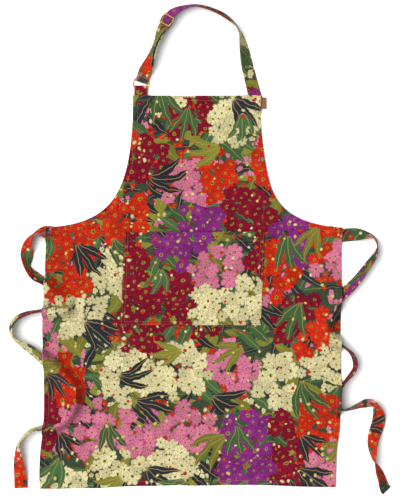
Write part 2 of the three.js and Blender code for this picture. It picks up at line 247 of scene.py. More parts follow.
pale_table = Finish("pale_table")
pale_table.set(Base_Color=paint(245, 245, 245), Roughness=0.9, Specular_IOR_Level=0.1)
table.data.materials.append(pale_table.material)
print("finish made: pale_table")

# %% [markdown]
# ## The printed cloth
# The apron is cut from a cotton and linen cloth, printed all over with bouquets. The print here is a
# made-up one, drawn by the shader. It reads the UV map that holds each point's place in the flat cut,
# so the flowers bend with the cloth and stop at a seam. Voronoi cells scatter things evenly: large
# cells are bouquets, each of one colour, and small cells are the flowers in them. A flower asks
# which bouquet its own middle is in, so no flower is cut in two by a bouquet's edge. Between the
# bouquets, small flowers and leaves show through. Sprays of long leaves lie over everything, with a
# sprinkling of buds.

# %% Inks
RED = paint(222, 48, 22)
CREAM = paint(242, 228, 174)
PINK = paint(236, 128, 164)
CRIMSON = paint(146, 18, 48)
PURPLE = paint(150, 46, 136)
GROUND = paint(46, 56, 42)
MOSS = paint(80, 94, 68)
SLATE = paint(44, 52, 58)
FERN = paint(72, 110, 66)
OLIVE = paint(138, 138, 52)
OCHRE = paint(200, 154, 96)
BUTTER = paint(232, 208, 120)
EYE_YELLOW = paint(182, 178, 50)
EYE_GREEN = paint(66, 92, 40)
BARE_CLOTH = paint(206, 194, 176)

# Where in a bouquet's luck each colour begins. The rest has no large flowers.
BOUQUET_STOPS = [(0.0, RED), (0.31, CREAM), (0.51, PINK), (0.65, CRIMSON), (0.87, PURPLE)]
FLOWERLESS = 0.97
FILLER_STOPS = [(0.0, PINK), (0.3, CREAM), (0.5, RED), (0.8, CRIMSON)]
BUD_STOPS = [(0.0, BUTTER), (0.5, RED), (0.8, CREAM)]
GREENS = [(0.0, SLATE), (0.34, FERN), (0.7, OLIVE)]
print("inks ready:", len(BOUQUET_STOPS), "bouquet colours")

# %% Flowers
BOUQUET = 0.118  # metres from one bouquet to the next
TURN = 2 * math.pi


def scatter(finish, place, randomness):
    """Voronoi cells one unit apart, whose middles are in the same units as place."""
    sockets = {"Vector": place, "Scale": 1.0, "Randomness": randomness}
    return finish.node("TexVoronoi", {"voronoi_dimensions": "2D"}, sockets)


def cells_at(finish, place, cell_size, shift, randomness):
    """Scattered cells, each point's offset from its cell's middle, and the cell's three lucks."""
    wide, long = cell_size
    scaled = finish.vector("MULTIPLY_ADD", place, (1 / wide, 1 / long, 0), (*shift, 0))
    cell = scatter(finish, scaled, randomness)
    x, y, _ = finish.parts(finish.vector("SUBTRACT", scaled, cell.out("Position")))
    return cell, x, y, finish.parts(cell.out("Color"))


def flowers(finish, place, grain, spacing, shift, petals, size, fill, share, stops):
    """A layer of round flowers: where they are, and their colour there."""
    cell, x, y, (luck, turn, tone) = cells_at(finish, place, (spacing, spacing), shift, 0.7)
    wide = spacing / BOUQUET
    back = (-shift[0] * wide, -shift[1] * wide, 0)
    home = finish.vector("MULTIPLY_ADD", cell.out("Position"), (wide, wide, 0), back)
    bouquet = scatter(finish, home, 0.85)
    kind, _, _ = finish.parts(bouquet.out("Color"))
    here = (bouquet + tone * 0.2 < fill) * (luck < share) * (kind < FLOWERLESS)

    lobe = abs((x.sum("ARCTAN2", y, x) * (petals / 2) + turn * TURN).sum("COSINE"))
    outer = size * (0.68 + 0.32 * lobe**0.7) * (0.8 + 0.2 * tone)
    within = (x * x + y * y) ** 0.5 / outer + (grain - 0.5) * 0.3
    seam = (1 - lobe.rise(0.0, 0.45)) * within.rise(0.25, 0.7)
    light = (0.76 + 0.34 * tone) * (1 - 0.42 * seam) * (1 - 0.34 * within.rise(0.74, 1.0))
    ink = finish.node("ValToRGB", {"stops": stops}, {0: kind})
    ink = finish.scaled(ink, light * (0.3 + 1.4 * grain))
    ink = finish.mix(1 - within.rise(0.16, 0.26), ink, EYE_YELLOW)
    ink = finish.mix(1 - within.rise(0.1, 0.18), ink, EYE_GREEN)
    return (1 - within.rise(0.93, 1.03)) * here, ink


# %% Leaves and buds
def leaves(finish, place, turn, cell_size, shift, share):
    """A layer of pointed leaves that all lie roughly one way."""
    sockets = {"Vector": place, "Angle": math.radians(turn)}
    turned = finish.node("VectorRotate", {"rotation_type": "Z_AXIS"}, sockets)
    _, x, y, (luck, bow, tone) = cells_at(finish, turned, cell_size, shift, 0.45)
    across = abs(x + (bow - 0.5) * 2.4 * y * y + (luck - 0.5) * 0.5 * y)
    along = abs(y) / (0.36 + 0.14 * tone)
    blade = 0.38 * (1 - along**1.7) * (0.75 + 0.4 * bow)
    inside = (blade - across).rise(0.0, 0.03) * (luck < share)
    vein = y.sum("PINGPONG", (abs(y) - across * 0.35) * 13, 0.5)
    light = (0.78 + 0.44 * tone) * (0.86 + 0.3 * vein)
    ink = finish.scaled(finish.node("ValToRGB", {"stops": GREENS}, {0: bow}), light)
    return inside, finish.mix((1 - across.rise(0.012, 0.03)) * 0.7, ink, OCHRE)


def sprays(finish, place, grain, spacing, shift, share):
    """Sprays of three long drooping leaves, each spray spreading from one point."""
    step = 0.07  # of a whole turn, from one leaf to the next
    _, x, y, (luck, turn, tone) = cells_at(finish, place, (spacing, spacing), shift, 0.55)
    radius = (x * x + y * y) ** 0.5
    hang = 0.75 + (turn - 0.5) * 0.45
    swing = x.sum("ARCTAN2", y, x) / TURN + hang + (tone - 0.5) * 0.36 * radius
    fan = swing.sum("FRACT") - 0.5
    leaf = (fan / step + 0.5).sum("FLOOR")
    across = abs(((fan - leaf * step) * TURN).sum("SINE")) * radius
    along = (radius - 0.03) / (0.62 - 0.08 * abs(leaf) - 0.1 * tone)
    belly = along.sum("MAXIMUM", along * (1 - along) * 4, 0.0)
    blade = 0.058 * belly**0.9
    inside = (blade - across).rise(0.0, 0.01) * (abs(leaf) < 1.5) * (luck < share)
    light = (0.74 + 0.4 * tone) * (0.4 + 1.2 * grain) * (1.1 - 0.25 * along)
    ink = finish.scaled(finish.node("ValToRGB", {"stops": GREENS}, {0: turn}), light)
    return inside, finish.mix((1 - across.rise(0.002, 0.008)) * 0.7, ink, OCHRE)


def buds(finish, place, spacing, shift):
    """A sprinkling of small round buds."""
    cell, _, _, (luck, tone, pick) = cells_at(finish, place, (spacing, spacing), shift, 0.8)
    ink = finish.node("ValToRGB", {"stops": BUD_STOPS}, {0: pick})
    ink = finish.scaled(ink, 1.06 - 0.45 * cell.rise(0.05, 0.32))
    return (cell < 0.2 + 0.16 * tone) * (luck > 0.87), ink


# %% The cloth itself
THREADS_PER_METRE = 1150
THREAD_PATCHES = (900, 40)  # to the metre across a thread and along it
INK_STRENGTH = 0.55  # how much of the light a full ink gives back
DRIFT = 11 * MM  # how far the print's shapes wander from plain cells


def noise_at(finish, place, scale, detail=2.0, output=0):
    sockets = {"Vector": place, "Scale": scale, "Detail": detail}
    return finish.node("TexNoise", {"noise_dimensions": "2D"}, sockets, output)


def cloth_finish(name, faded):
    """The printed cloth. Its back is the same print, faded towards bare cloth."""
    finish = Finish(name)
    cut = finish.node("UVMap", {"uv_map": "cut"})
    drift = finish.vector("SUBTRACT", noise_at(finish, cut, 34.0, 2.0, "Color"), (0.5, 0.5, 0.5))
    place = finish.vector("MULTIPLY_ADD", drift, (DRIFT, DRIFT, 0), cut)
    grain = noise_at(finish, cut, 420.0, 3.0)

    # From the lowest layer up. Leaves have a turn, a cell size, a shift and a share. Flowers have a
    # spacing, a shift, petals, a size, how much of a bouquet they fill, a share and their inks.
    layers = [
        leaves(finish, place, 84, (0.021, 0.064), (0.1, 0.4), 0.9),
        flowers(finish, place, grain, 0.0135, (0.11, 0.67), 5, 0.62, 9.0, 0.45, FILLER_STOPS),
        leaves(finish, place, 24, (0.034, 0.112), (0.3, 0.6), 0.85),
        leaves(finish, place, -52, (0.032, 0.1), (0.7, 0.2), 0.75),
        flowers(finish, place, grain, 0.034, (0.37, 0.81), 7, 0.66, 0.66, 2.0, BOUQUET_STOPS),
        flowers(finish, place, grain, 0.027, (0.71, 0.13), 6, 0.56, 0.6, 2.0, BOUQUET_STOPS),
        sprays(finish, place, grain, 0.17, (0.55, 0.25), 0.8),
        sprays(finish, place, grain, 0.145, (0.15, 0.85), 0.7),
        buds(finish, place, 0.0125, (0.2, 0.5)),
    ]
    ink = finish.mix(grain.rise(0.3, 0.7), GROUND, MOSS)
    for mask, colour in layers:
        ink = finish.mix(mask, ink, colour)

    x, y, _ = finish.parts(cut)
    warp = (x * (THREADS_PER_METRE * TURN)).sum("SINE")
    weft = (y * (THREADS_PER_METRE * TURN)).sum("SINE")
    fine, coarse = THREAD_PATCHES
    along = noise_at(finish, finish.vector("MULTIPLY", cut, (fine, coarse, 1)), 1.0)
    up = noise_at(finish, finish.vector("MULTIPLY", cut, (coarse, fine, 1)), 1.0)
    slub = (along + up) * 0.5
    ink = finish.scaled(ink, (0.8 + 0.4 * slub) * INK_STRENGTH)
    if faded:
        ink = finish.mix(faded, ink, BARE_CLOTH)
    weave = warp * weft * 0.5 + slub
    bump = finish.node("Bump", None, {"Strength": 0.35, "Distance": 0.35 * MM, "Height": weave})
    finish.set(Base_Color=ink, Roughness=0.78 + 0.2 * slub, Normal=bump)
    finish.set(Sheen_Weight=0.02, Sheen_Roughness=0.5, Specular_IOR_Level=0.05)
    return finish


printed_cloth = cloth_finish("printed_cloth", 0.0)
cloth_back = cloth_finish("cloth_back", 0.45)
print("print:", len(printed_cloth.tree.nodes), "nodes")

# %% [markdown]
# ## The courses of the ties and the neck strap
# Each tape is a long narrow strip that lies on the table in loose curves, and rolls up onto its edge
# where it turns. Its course is a short table of rows: a place on the table, how far the tape has
# rolled there, and how high it is carried. A smooth curve runs through the rows, and at any reach
# along it the tape has three directions: along, across and out of its face. These are the numbers
# that the CAD model uses, so the cloth lands where its solids are.

# %% Course tables
# Rows of x and y in mm, roll in degrees, and lift in mm where there is any.
LEFT_TIE = [
    (-338, 37, 0), (-357, 39, 26), (-369, 37.5, 54), (-381.5, 33, 76), (-390, 22, 60),
    (-395, 11, 44), (-397.5, -5, 16), (-397, -22, -32), (-395, -42, -66), (-378, -62, -50),
    (-360, -72, -55), (-340, -84, -48), (-322, -97, -28), (-308, -114, 0), (-317, -131, 36),
    (-338, -139, 62), (-361, -141, 77), (-380, -144, 78), (-398, -148, 75), (-418, -157, 69),
    (-430, -170, 70), (-434, -183, 72), (-433, -195, 76), (-427, -206, 79), (-414, -215.5, 69),
    (-389, -230, 47), (-375.5, -243, 53), (-362, -258, 60), (-340, -277, 58), (-316, -300, 53),
    (-297, -334, 50), (-309, -376, 55), (-336, -399, 66), (-361, -409, 74), (-391, -418.5, 77),
    (-405.5, -430.5, 80), (-413.5, -443, 79), (-417, -456, 70), (-417, -470, 56),
    (-416, -493, 35), (-413, -517, 18), (-411.5, -549.4, 1),
]
RIGHT_TIE = [
    (307, 31, 0), (330, 31.5, -2), (345, 33, -8), (360, 33.5, -22), (381, 32, -54),
    (397.5, 27.5, -77), (404.5, 18, -79), (406.5, 3.6, -88), (400, -15.5, -107), (386, -36, -119),
    (361, -70, -128), (340, -92.5, -138), (326, -106, -138), (301, -131, -133), (286, -155, -128),
    (281, -181, -118), (295, -205, -106), (322, -218.3, -98), (334.5, -228, -99),
    (348, -240, -103), (355.5, -258, -106), (355.5, -272, -105), (347.5, -286.5, -104),
    (337, -298.5, -99), (327, -312, -97), (315, -330, -95), (312, -350, -95), (327, -368.7, -98),
    (345, -366, -108), (362.5, -359.5, -119), (380, -354, -134), (391, -353.5, -130),
    (401, -358, -116), (408, -371.5, -132), (411, -388, -164), (409, -402, -170),
    (404, -416.5, -165), (399, -431, -151), (396, -446, -137), (396, -460.5, -123),
    (397.5, -475, -109), (399, -485, -97), (404.8, -498, -72), (411, -512, -56), (417, -527, -48),
    (421.56, -541.67, -40), (425.06, -550.17, -33), (428.96, -554.77, -29),
]
NECK_STRAP = [
    (133, 328, 0), (127, 350, 0), (120, 376, 14), (108, 423, 26), (100, 465, 48), (89, 503, 78),
    (58, 534, 68), (23, 551, 70), (-7, 558, 72), (-36, 554, 66, 1), (-65.9, 539.9, 42, 6.9),
    (-71, 532.4, 42, 6.9), (-76, 525, 42, 6.9), (-81, 517.6, 42, 6.9), (-86.1, 510.1, 42, 6.9),
    (-95, 485, 68, 3.6), (-104, 462, 74, 2.8), (-113, 438, 60, 2.8), (-122, 416, 30, 2.8),
    (-127.5, 403, 3, 2.8), (-130.5, 395, 0, 2.6), (-134.4, 384.9, 0, 2.5),
]
SLIDER_ROW = 12
RING_ROW = 21
print("course rows:", len(LEFT_TIE), len(RIGHT_TIE), len(NECK_STRAP))

# %% A course from its rows
TAPE_WIDTH = 30 * MM
TAPE_THICK = 1.6 * MM
STEPS_PER_ROW = 24


def eased(rows, gaps):
    """A smooth curve through rows, with a tangent at each row that suits the gaps beside it."""
    ends = np.vstack([2 * rows[0] - rows[1], rows, 2 * rows[-1] - rows[-2]])
    before, start, end, after = ends[:-3], ends[1:-2], ends[2:-1], ends[3:]
    d0, d1, d2 = gaps[:-2, None], gaps[1:-1, None], gaps[2:, None]
    leave = d1 * ((start - before) / d0 - (end - before) / (d0 + d1) + (end - start) / d1)
    reach = d1 * ((end - start) / d1 - (after - start) / (d1 + d2) + (after - end) / d2)
    square = -3 * start + 3 * end - 2 * leave - reach
    cube = 2 * start - 2 * end + leave + reach
    t = (np.arange(STEPS_PER_ROW) / STEPS_PER_ROW)[None, :, None]
    points = start[:, None] + leave[:, None] * t + square[:, None] * t**2 + cube[:, None] * t**3
    return np.vstack([points.reshape(-1, rows.shape[1]), rows[-1:]])


def gaps_of(rows):
    """The roots of the distances between rows, with one more at either end."""
    ends = np.vstack([2 * rows[0] - rows[1], rows, 2 * rows[-1] - rows[-2]])
    return np.linalg.norm(np.diff(ends, axis=0), axis=1) ** 0.5


def unit(vectors):
    return vectors / np.linalg.norm(vectors, axis=-1, keepdims=True)


def reaches(points):
    """How far along a line of points each point is."""
    return np.append(0, np.cumsum(np.linalg.norm(np.diff(points, axis=0), axis=1)))


class Course:
    """A tape's way over the table."""

    def __init__(self, rows):
        rows = np.array([(*row, 0)[:4] for row in rows], float)
        flat = rows[:, :2] * MM
        lay = np.column_stack([np.radians(rows[:, 2]), rows[:, 3] * MM])
        gaps = gaps_of(flat)
        self.flat = eased(flat, gaps)
        self.lay = eased(lay, np.ones(len(gaps)))
        self.reach = reaches(self.flat)
        self.length = self.reach[-1]
        self.heading = np.gradient(self.flat, self.reach, axis=0)

    def row(self, number):
        return self.reach[number * STEPS_PER_ROW]

    def at(self, reach):
        """Centre, along, across and face of the tape at each reach."""
        inside = np.clip(reach, 0, self.length)
        x, y, hx, hy, roll, lift = (
            np.interp(inside, self.reach, column)
            for column in np.column_stack([self.flat, self.heading, self.lay]).T
        )
        level = np.zeros_like(x)
        along = unit(np.column_stack([hx, hy, level]))
        right = np.column_stack([along[:, 1], -along[:, 0], level])
        up = np.array([0, 0, 1.0])
        across = right * np.cos(roll)[:, None] - up * np.sin(roll)[:, None]
        face = np.cross(across, along)
        rise = (TAPE_WIDTH * abs(np.sin(roll)) + TAPE_THICK * abs(np.cos(roll))) / 2
        centre = np.column_stack([x, y, rise + np.maximum(lift, 0)])
        return centre + along * (reach - inside)[:, None], along, across, face


left_course = Course(LEFT_TIE)
right_course = Course(RIGHT_TIE)
neck_course = Course(NECK_STRAP)
for course in (left_course, right_course, neck_course):
    print(f"course of {course.length * 1000:.0f} mm")

# %% [markdown]
# ## Tapes
# A real tie is a strip of the same cloth, folded lengthwise with its raw edges inside and sewn down
# both edges. It could be a curve with a flat bevel, but then the print would not follow the cut. So
# each tape starts as a flat grid, the size of the strip. Its UV map is taken from that flat cut, and
# then its rows are laid along the course. Solidify gives both plies, and a small bevel rounds the
# folded edges.

# %% Cutting and laying cloth
# Where on the printed cloth each piece is cut, in metres.
CUT_FROM = {
    "body": (0.9, 1.8),
    "pocket": (0.83, 0.57),
    "left_tie": (1.31, 0.22),
    "right_tie": (1.52, -0.41),
    "neck_strap": (1.74, 0.63),
    "ring_tab": (1.11, 0.47),
}


def flat_grid(name, columns, rows):
    """A grid to be laid as cloth, and the share across and along of each of its points."""
    bpy.ops.object.select_all(action="DESELECT")
    bpy.ops.mesh.primitive_grid_add(
        x_subdivisions=columns, y_subdivisions=rows, size=1, calc_uvs=False
    )
    piece = bpy.context.object
    piece.name = name
    piece.data.name = name
    share = np.zeros(len(piece.data.vertices) * 3)
    piece.data.vertices.foreach_get("co", share)
    return piece, share.reshape(-1, 3)[:, :2] + 0.5


def mark_cut(piece, cut):
    """The UV map holds where each point is in the cloth before it is laid, in metres."""
    corners = np.zeros(len(piece.data.loops), int)
    piece.data.loops.foreach_get("vertex_index", corners)
    layer = piece.data.uv_layers.new(name="cut")
    layer.data.foreach_set("uv", cut[corners].astype(np.float32).ravel())


def lay(piece, points):
    """Moves every point of a piece to its place."""
    piece.data.vertices.foreach_set("co", points.astype(np.float32).ravel())
    piece.data.update()


# %% Working on one piece
def only(piece):
    """Makes a piece the one thing that the next operator acts on."""
    bpy.ops.object.select_all(action="DESELECT")
    piece.select_set(True)
    bpy.context.view_layer.objects.active = piece


def use(piece, kind, **settings):
    """Adds a modifier, sets it and applies it."""
    only(piece)
    modifier = piece.modifiers.new(kind.lower(), kind)
    for name, value in settings.items():
        setattr(modifier, name, value)
    bpy.ops.object.modifier_apply(modifier=modifier.name)


def smooth_by_angle(piece, degrees):
    only(piece)
    bpy.ops.object.shade_smooth_by_angle(angle=math.radians(degrees))


def settle(piece, node):
    """Hangs a piece from the root, and hides the CAD node that it stands for, if there is one."""
    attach(piece, "root")
    if node:
        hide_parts(node)


# %% Tapes along a line
TAPE_COLUMNS = 8
TAPE_ROW = 3 * MM
SWAY_WAVE = 17 * MM
CUP_WAVE = 40 * MM
CALM_END = 20 * MM  # a tape lies flatter where it is held


def soft_line(reach, wave, seed):
    """A gently wandering number along a tape, about one high."""
    knots = np.random.default_rng(seed).uniform(-1, 1, int(reach[-1] / wave) + 6)
    at = reach / wave + 1
    low = np.floor(at).astype(int)
    t = at - low
    t = t * t * (3 - 2 * t)
    return knots[low] * (1 - t) + knots[low + 1] * t


def tape(name, line, cut_from, seed, width=TAPE_WIDTH, thick=TAPE_THICK, loose=0.5 * MM):
    """A strip laid along a line, which has a length, and four vectors at any distance along it."""
    rows = max(8, round(line.length / TAPE_ROW))
    piece, share = flat_grid(name, TAPE_COLUMNS, rows)
    side = share[:, 0] * 2 - 1
    distance = share[:, 1] * line.length
    mark_cut(piece, np.column_stack([side * width / 2, distance]) + cut_from)
    steps = np.linspace(0, line.length, rows + 1)
    fade = np.clip(np.minimum(steps, line.length - steps) / CALM_END, 0, 1)
    sway = np.interp(distance, steps, soft_line(steps, SWAY_WAVE, seed) * fade)
    cup = np.interp(distance, steps, (soft_line(steps, CUP_WAVE, seed + 1) + 0.6) * fade)
    centre, along, across, face = line.at(distance)
    lifted = loose * (0.5 * sway * side + 0.8 * cup * (1 - side**2))
    points = centre + across * (side * width / 2)[:, None] + face * lifted[:, None]
    points[:, 2] = np.maximum(points[:, 2], thick / 2)
    lay(piece, points)
    use(piece, "SOLIDIFY", thickness=thick, offset=0)
    use(piece, "BEVEL", width=thick * 0.36, segments=2, limit_method="ANGLE", angle_limit=0.9)
    smooth_by_angle(piece, 60)
    return piece


left_tie = tape("left_tie_cloth", left_course, CUT_FROM["left_tie"], seed=3)
right_tie = tape("right_tie_cloth", right_course, CUT_FROM["right_tie"], seed=5)
for piece, node in ((left_tie, "left_tie"), (right_tie, "right_tie")):
    settle(piece, node)
    print(piece.name, len(piece.data.polygons), "faces")

# %% [markdown]
# ## The neck strap, its tab and the label
# The neck strap runs up from one corner of the bib, under the slider's outer bars and over its middle
# bar, on to the ring, round it, and back to the slider, where its end is sewn round the middle bar.
# That is easiest to draw from the side: how far along the course, and how far off its face. A
# short tab of the same tape holds the ring at the other corner. A small woven label, folded double,
# peeps out beside the bib's edge. All three are strips on a side view.


# %% Strips on a side view
class SideView:
    """A line drawn from the side of a course: how far along it, and how far off its face."""

    def __init__(self, course_at, rows):
        rows = np.array(rows, float) * MM
        self.course_at = course_at
        self.line = eased(rows, gaps_of(rows))
        self.reach = reaches(self.line)
        self.length = self.reach[-1]
        self.heading = np.gradient(self.line, self.reach, axis=0)

    def at(self, distance):
        """Centre, along, across and face at each distance along the line."""
        reach, off, forward, upward = (
            np.interp(distance, self.reach, column)
            for column in np.column_stack([self.line, self.heading]).T
        )
        centre, along, across, face = self.course_at(reach)
        forward = forward[:, None]
        upward = upward[:, None]
        heading = unit(along * forward + face * upward)
        return centre + face * off[:, None], heading, across, np.cross(across, heading)


HALF_TURN_POINTS = 7


def half_turn(middle, height, radius):
    """From above to below, round the far side."""
    turn = np.linspace(0, math.pi, HALF_TURN_POINTS)
    return [(middle + radius * math.sin(a), height + radius * math.cos(a)) for a in turn]


def even_run(start, end, height, count):
    """Points between two reaches, at one height."""
    return [(reach, height) for reach in np.linspace(start, end, count + 1)[1:-1]]


def straight(origin, heading):
    """A straight, level course along the table."""
    along = np.array([*heading, 0.0])
    across = np.array([along[1], -along[0], 0.0])

    def at(reach):
        rows = np.ones((len(reach), 1))
        centre = np.array([*origin, 0.0]) * MM + along * reach[:, None]
        return centre, rows * along, rows * across, rows * np.array([0, 0, 1.0])

    return at


# %% Neck strap
# All in mm: reach along the course, and height off its face.
BAR = 3.2
SLOT = 7.6
PLY = 2.0  # from one layer of tape to the next
WRAP = 2.45  # radius of the fold round the ring's wire
PAIR = 2.6  # half the distance between the two runs from slider to ring
UNDER_BARS = -2.4
CURL = 3.1  # radius of the end's fold round the middle bar
CURL_HEIGHT = -0.4
FREE_OF_SLIDER = 36
FREE_OF_RING = 16
slider_at = neck_course.row(SLIDER_ROW) / MM
ring_at = neck_course.row(RING_ROW) / MM
slot_edge = BAR / 2 + SLOT
over_middle = CURL_HEIGHT + CURL + PLY
settled = slider_at + FREE_OF_SLIDER
parting = ring_at - FREE_OF_RING


def past_bars(way):
    """Under an outer bar, up through the slot and onto the middle bar."""
    return [
        (slider_at + way * (slot_edge + 7), UNDER_BARS),
        (slider_at + way * (slot_edge + 0.6), UNDER_BARS),
        (slider_at + way * (slot_edge - 1.4), UNDER_BARS + 0.5),
        (slider_at + way * (slot_edge - 3.8), UNDER_BARS + 3.6),
        (slider_at + way * 2.6, over_middle - 0.6),
    ]


curl = [
    (slider_at + CURL * math.cos(a), CURL_HEIGHT + CURL * math.sin(a))
    for a in np.linspace(0, math.pi, HALF_TURN_POINTS)
]
strap_rows = [
    (0, 0),
    *even_run(0, slider_at - FREE_OF_SLIDER, 0, 22),
    (slider_at - FREE_OF_SLIDER, 0),
    *past_bars(-1),
    (slider_at, over_middle),
    *past_bars(1)[::-1],
    (settled, PAIR),
    *even_run(settled, parting, PAIR, 7),
    (parting, WRAP),
    *half_turn(ring_at, 0, WRAP),
    (parting, -WRAP),
    *even_run(parting, settled, -PAIR, 7),
    (settled, -PAIR),
    (slider_at + slot_edge + 7, UNDER_BARS - PLY),
    (slider_at + slot_edge, UNDER_BARS - PLY),
    (slider_at + 5.5, UNDER_BARS - PLY + 0.5),
    (slider_at + 3.5, UNDER_BARS + 0.2),
    *curl,
    (slider_at - 3, UNDER_BARS),
    (slider_at - 1.5, UNDER_BARS - PLY - 0.4),
    (slider_at + 1.5, UNDER_BARS - 2 * PLY),
    (slider_at + slot_edge, UNDER_BARS - 2 * PLY),
    (slider_at + slot_edge + 9, UNDER_BARS - 2 * PLY),
]
strap_line = SideView(neck_course.at, strap_rows)
neck_strap = tape(
    "neck_strap_cloth", strap_line, CUT_FROM["neck_strap"], seed=9, loose=0.15 * MM
)
settle(neck_strap, "neck_strap")
print(f"neck strap: {strap_line.length * 1000:.0f} mm of tape")

# %% Ring tab
# In mm, as on the neck strap.
BIB_TOP = 353
RING_X = -136
TAB_TUCK = 24  # how much of the tab is behind the bib
TAB_LOW = 0.85
TAB_HIGH = TAB_LOW + PLY
TAB_SHOULDER = 363.27
TAB_FOLD = 372.53
tab_rows = [
    (BIB_TOP - TAB_TUCK, TAB_HIGH),
    (BIB_TOP - TAB_TUCK / 2, TAB_HIGH),
    (BIB_TOP, TAB_HIGH + 0.8),
    (TAB_SHOULDER, TAB_LOW + 2 * WRAP),
    *half_turn(TAB_FOLD, TAB_LOW + WRAP, WRAP),
    (TAB_FOLD - 3, TAB_LOW),
    (BIB_TOP, TAB_LOW),
    (BIB_TOP - TAB_TUCK / 2, TAB_LOW),
    (BIB_TOP - TAB_TUCK, TAB_LOW),
]
tab_line = SideView(straight((RING_X, 0), (0, 1)), tab_rows)
ring_tab = tape("ring_tab_cloth", tab_line, CUT_FROM["ring_tab"], seed=13, loose=0.1 * MM)
settle(ring_tab, "ring_tab")
for piece in (left_tie, right_tie, neck_strap, ring_tab):
    piece.data.materials.append(printed_cloth.material)
print(f"tab: {tab_line.length * 1000:.0f} mm of tape")

# %% Side label
LABEL_WIDTH = 26 * MM  # along the bib's edge; the next ones are in mm, as on the tab
LABEL_Y = 335
LABEL_START = 131
BIB_EDGE = 140
LABEL_FOLD = 151.7
LABEL_LOW = 3.2
LABEL_HIGH = 5.0
label_rows = [
    (LABEL_START, LABEL_HIGH),
    (BIB_EDGE, LABEL_HIGH),
    (LABEL_FOLD - 1, LABEL_HIGH),
    *half_turn(LABEL_FOLD, (LABEL_LOW + LABEL_HIGH) / 2, (LABEL_HIGH - LABEL_LOW) / 2),
    (LABEL_FOLD - 1, LABEL_LOW),
    (BIB_EDGE, LABEL_LOW),
    (LABEL_START, LABEL_LOW),
]
label_line = SideView(straight((0, LABEL_Y), (1, 0)), label_rows)
side_label = tape(
    "side_label_tape",
    label_line,
    cut_from=(0, 0),
    seed=17,
    width=LABEL_WIDTH,
    thick=0.8 * MM,
    loose=0.1 * MM,
)
settle(side_label, "side_label")
print(f"label: {label_line.length * 1000:.0f} mm of tape")

# %% [markdown]
# ## The ring and the slider
# The ring is a wire bent into a rounded rectangle. A torus has no straight sides, so it starts as a
# plane: only its edges are kept, its corners are rounded by a vertex bevel, and the outline becomes a
# curve with a round bevel, which is made a mesh again. The slider is a plate with two slots. It
# starts as a grid whose lines are moved to the slots' edges, so the slots are just deleted faces.

# %% Strap ring
WIRE = 2.5 * MM
RING_SIZE = (38 * MM, 23.6 * MM)
RING_CORNER = 8 * MM
RING_PLACE = (RING_X * MM, 379.2 * MM, 3.25 * MM)
RING_TURN = math.radians(-9)


def into_edit(piece, action="SELECT"):
    only(piece)
    bpy.ops.object.mode_set(mode="EDIT")
    bpy.ops.mesh.select_all(action=action)


def seat(piece, matrix):
    """Moves a piece to its place, which goes into its mesh."""
    piece.data.transform(matrix)
    piece.data.update()


def wire_outline(name, width, depth, corner, wire):
    """A wire bent into a rounded rectangle, whose outer size is width by depth."""
    bpy.ops.object.select_all(action="DESELECT")
    bpy.ops.mesh.primitive_plane_add(size=1)
    piece = bpy.context.object
    piece.name = name
    piece.scale = (width - wire, depth - wire, 1)
    bpy.ops.object.transform_apply(location=False, rotation=False, scale=True)
    into_edit(piece)
    bpy.ops.mesh.delete(type="ONLY_FACE")
    bpy.ops.mesh.select_all(action="SELECT")
    bpy.ops.mesh.bevel(offset=corner - wire / 2, segments=10, affect="VERTICES")
    bpy.ops.object.mode_set(mode="OBJECT")
    bpy.ops.object.convert(target="CURVE")
    piece = bpy.context.object
    piece.data.bevel_depth = wire / 2
    piece.data.bevel_resolution = 5
    bpy.ops.object.convert(target="MESH")
    return bpy.context.object


strap_ring = wire_outline("strap_ring_wire", *RING_SIZE, RING_CORNER, WIRE)
seat(strap_ring, Matrix.Translation(RING_PLACE) @ Matrix.Rotation(RING_TURN, 4, "Z"))
into_edit(strap_ring)
bpy.ops.mesh.remove_doubles(threshold=1e-6)
bpy.ops.mesh.normals_make_consistent(inside=False)
bpy.ops.object.mode_set(mode="OBJECT")
smooth_by_angle(strap_ring, 60)
settle(strap_ring, "strap_ring")
print("ring:", len(strap_ring.data.polygons), "faces")

# %% Plate of the slider
SLIDER_HALF = 19.0  # mm, as are the next two
SLOT_HALF = 15.9
SLIDER_END = slot_edge + 3
SLIDER_THICK = 2.0 * MM
SLIDER_CORNER = 4.0 * MM
lines_x = np.array([-SLIDER_HALF, -SLOT_HALF, SLOT_HALF, SLIDER_HALF])
lines_y = np.array([-SLIDER_END, -slot_edge, -BAR / 2, BAR / 2, slot_edge, SLIDER_END])


def on_lines(share, lines):
    """The line that each point of a grid is on, where the lines aren't evenly spaced."""
    return lines[np.rint(share * (len(lines) - 1)).astype(int)]


strap_slider, share = flat_grid("strap_slider_plate", len(lines_x) - 1, len(lines_y) - 1)
x = on_lines(share[:, 0], lines_x)
y = on_lines(share[:, 1], lines_y)
lay(strap_slider, np.column_stack([x, y, 0 * x]) * MM)
into_edit(strap_slider, "DESELECT")
bpy.ops.object.mode_set(mode="OBJECT")
for polygon in strap_slider.data.polygons:
    x, y, _ = polygon.center / MM
    polygon.select = abs(x) < SLOT_HALF and BAR / 2 < abs(y) < slot_edge
print("slider's plate:", len(strap_slider.data.polygons), "faces, with those of its slots")

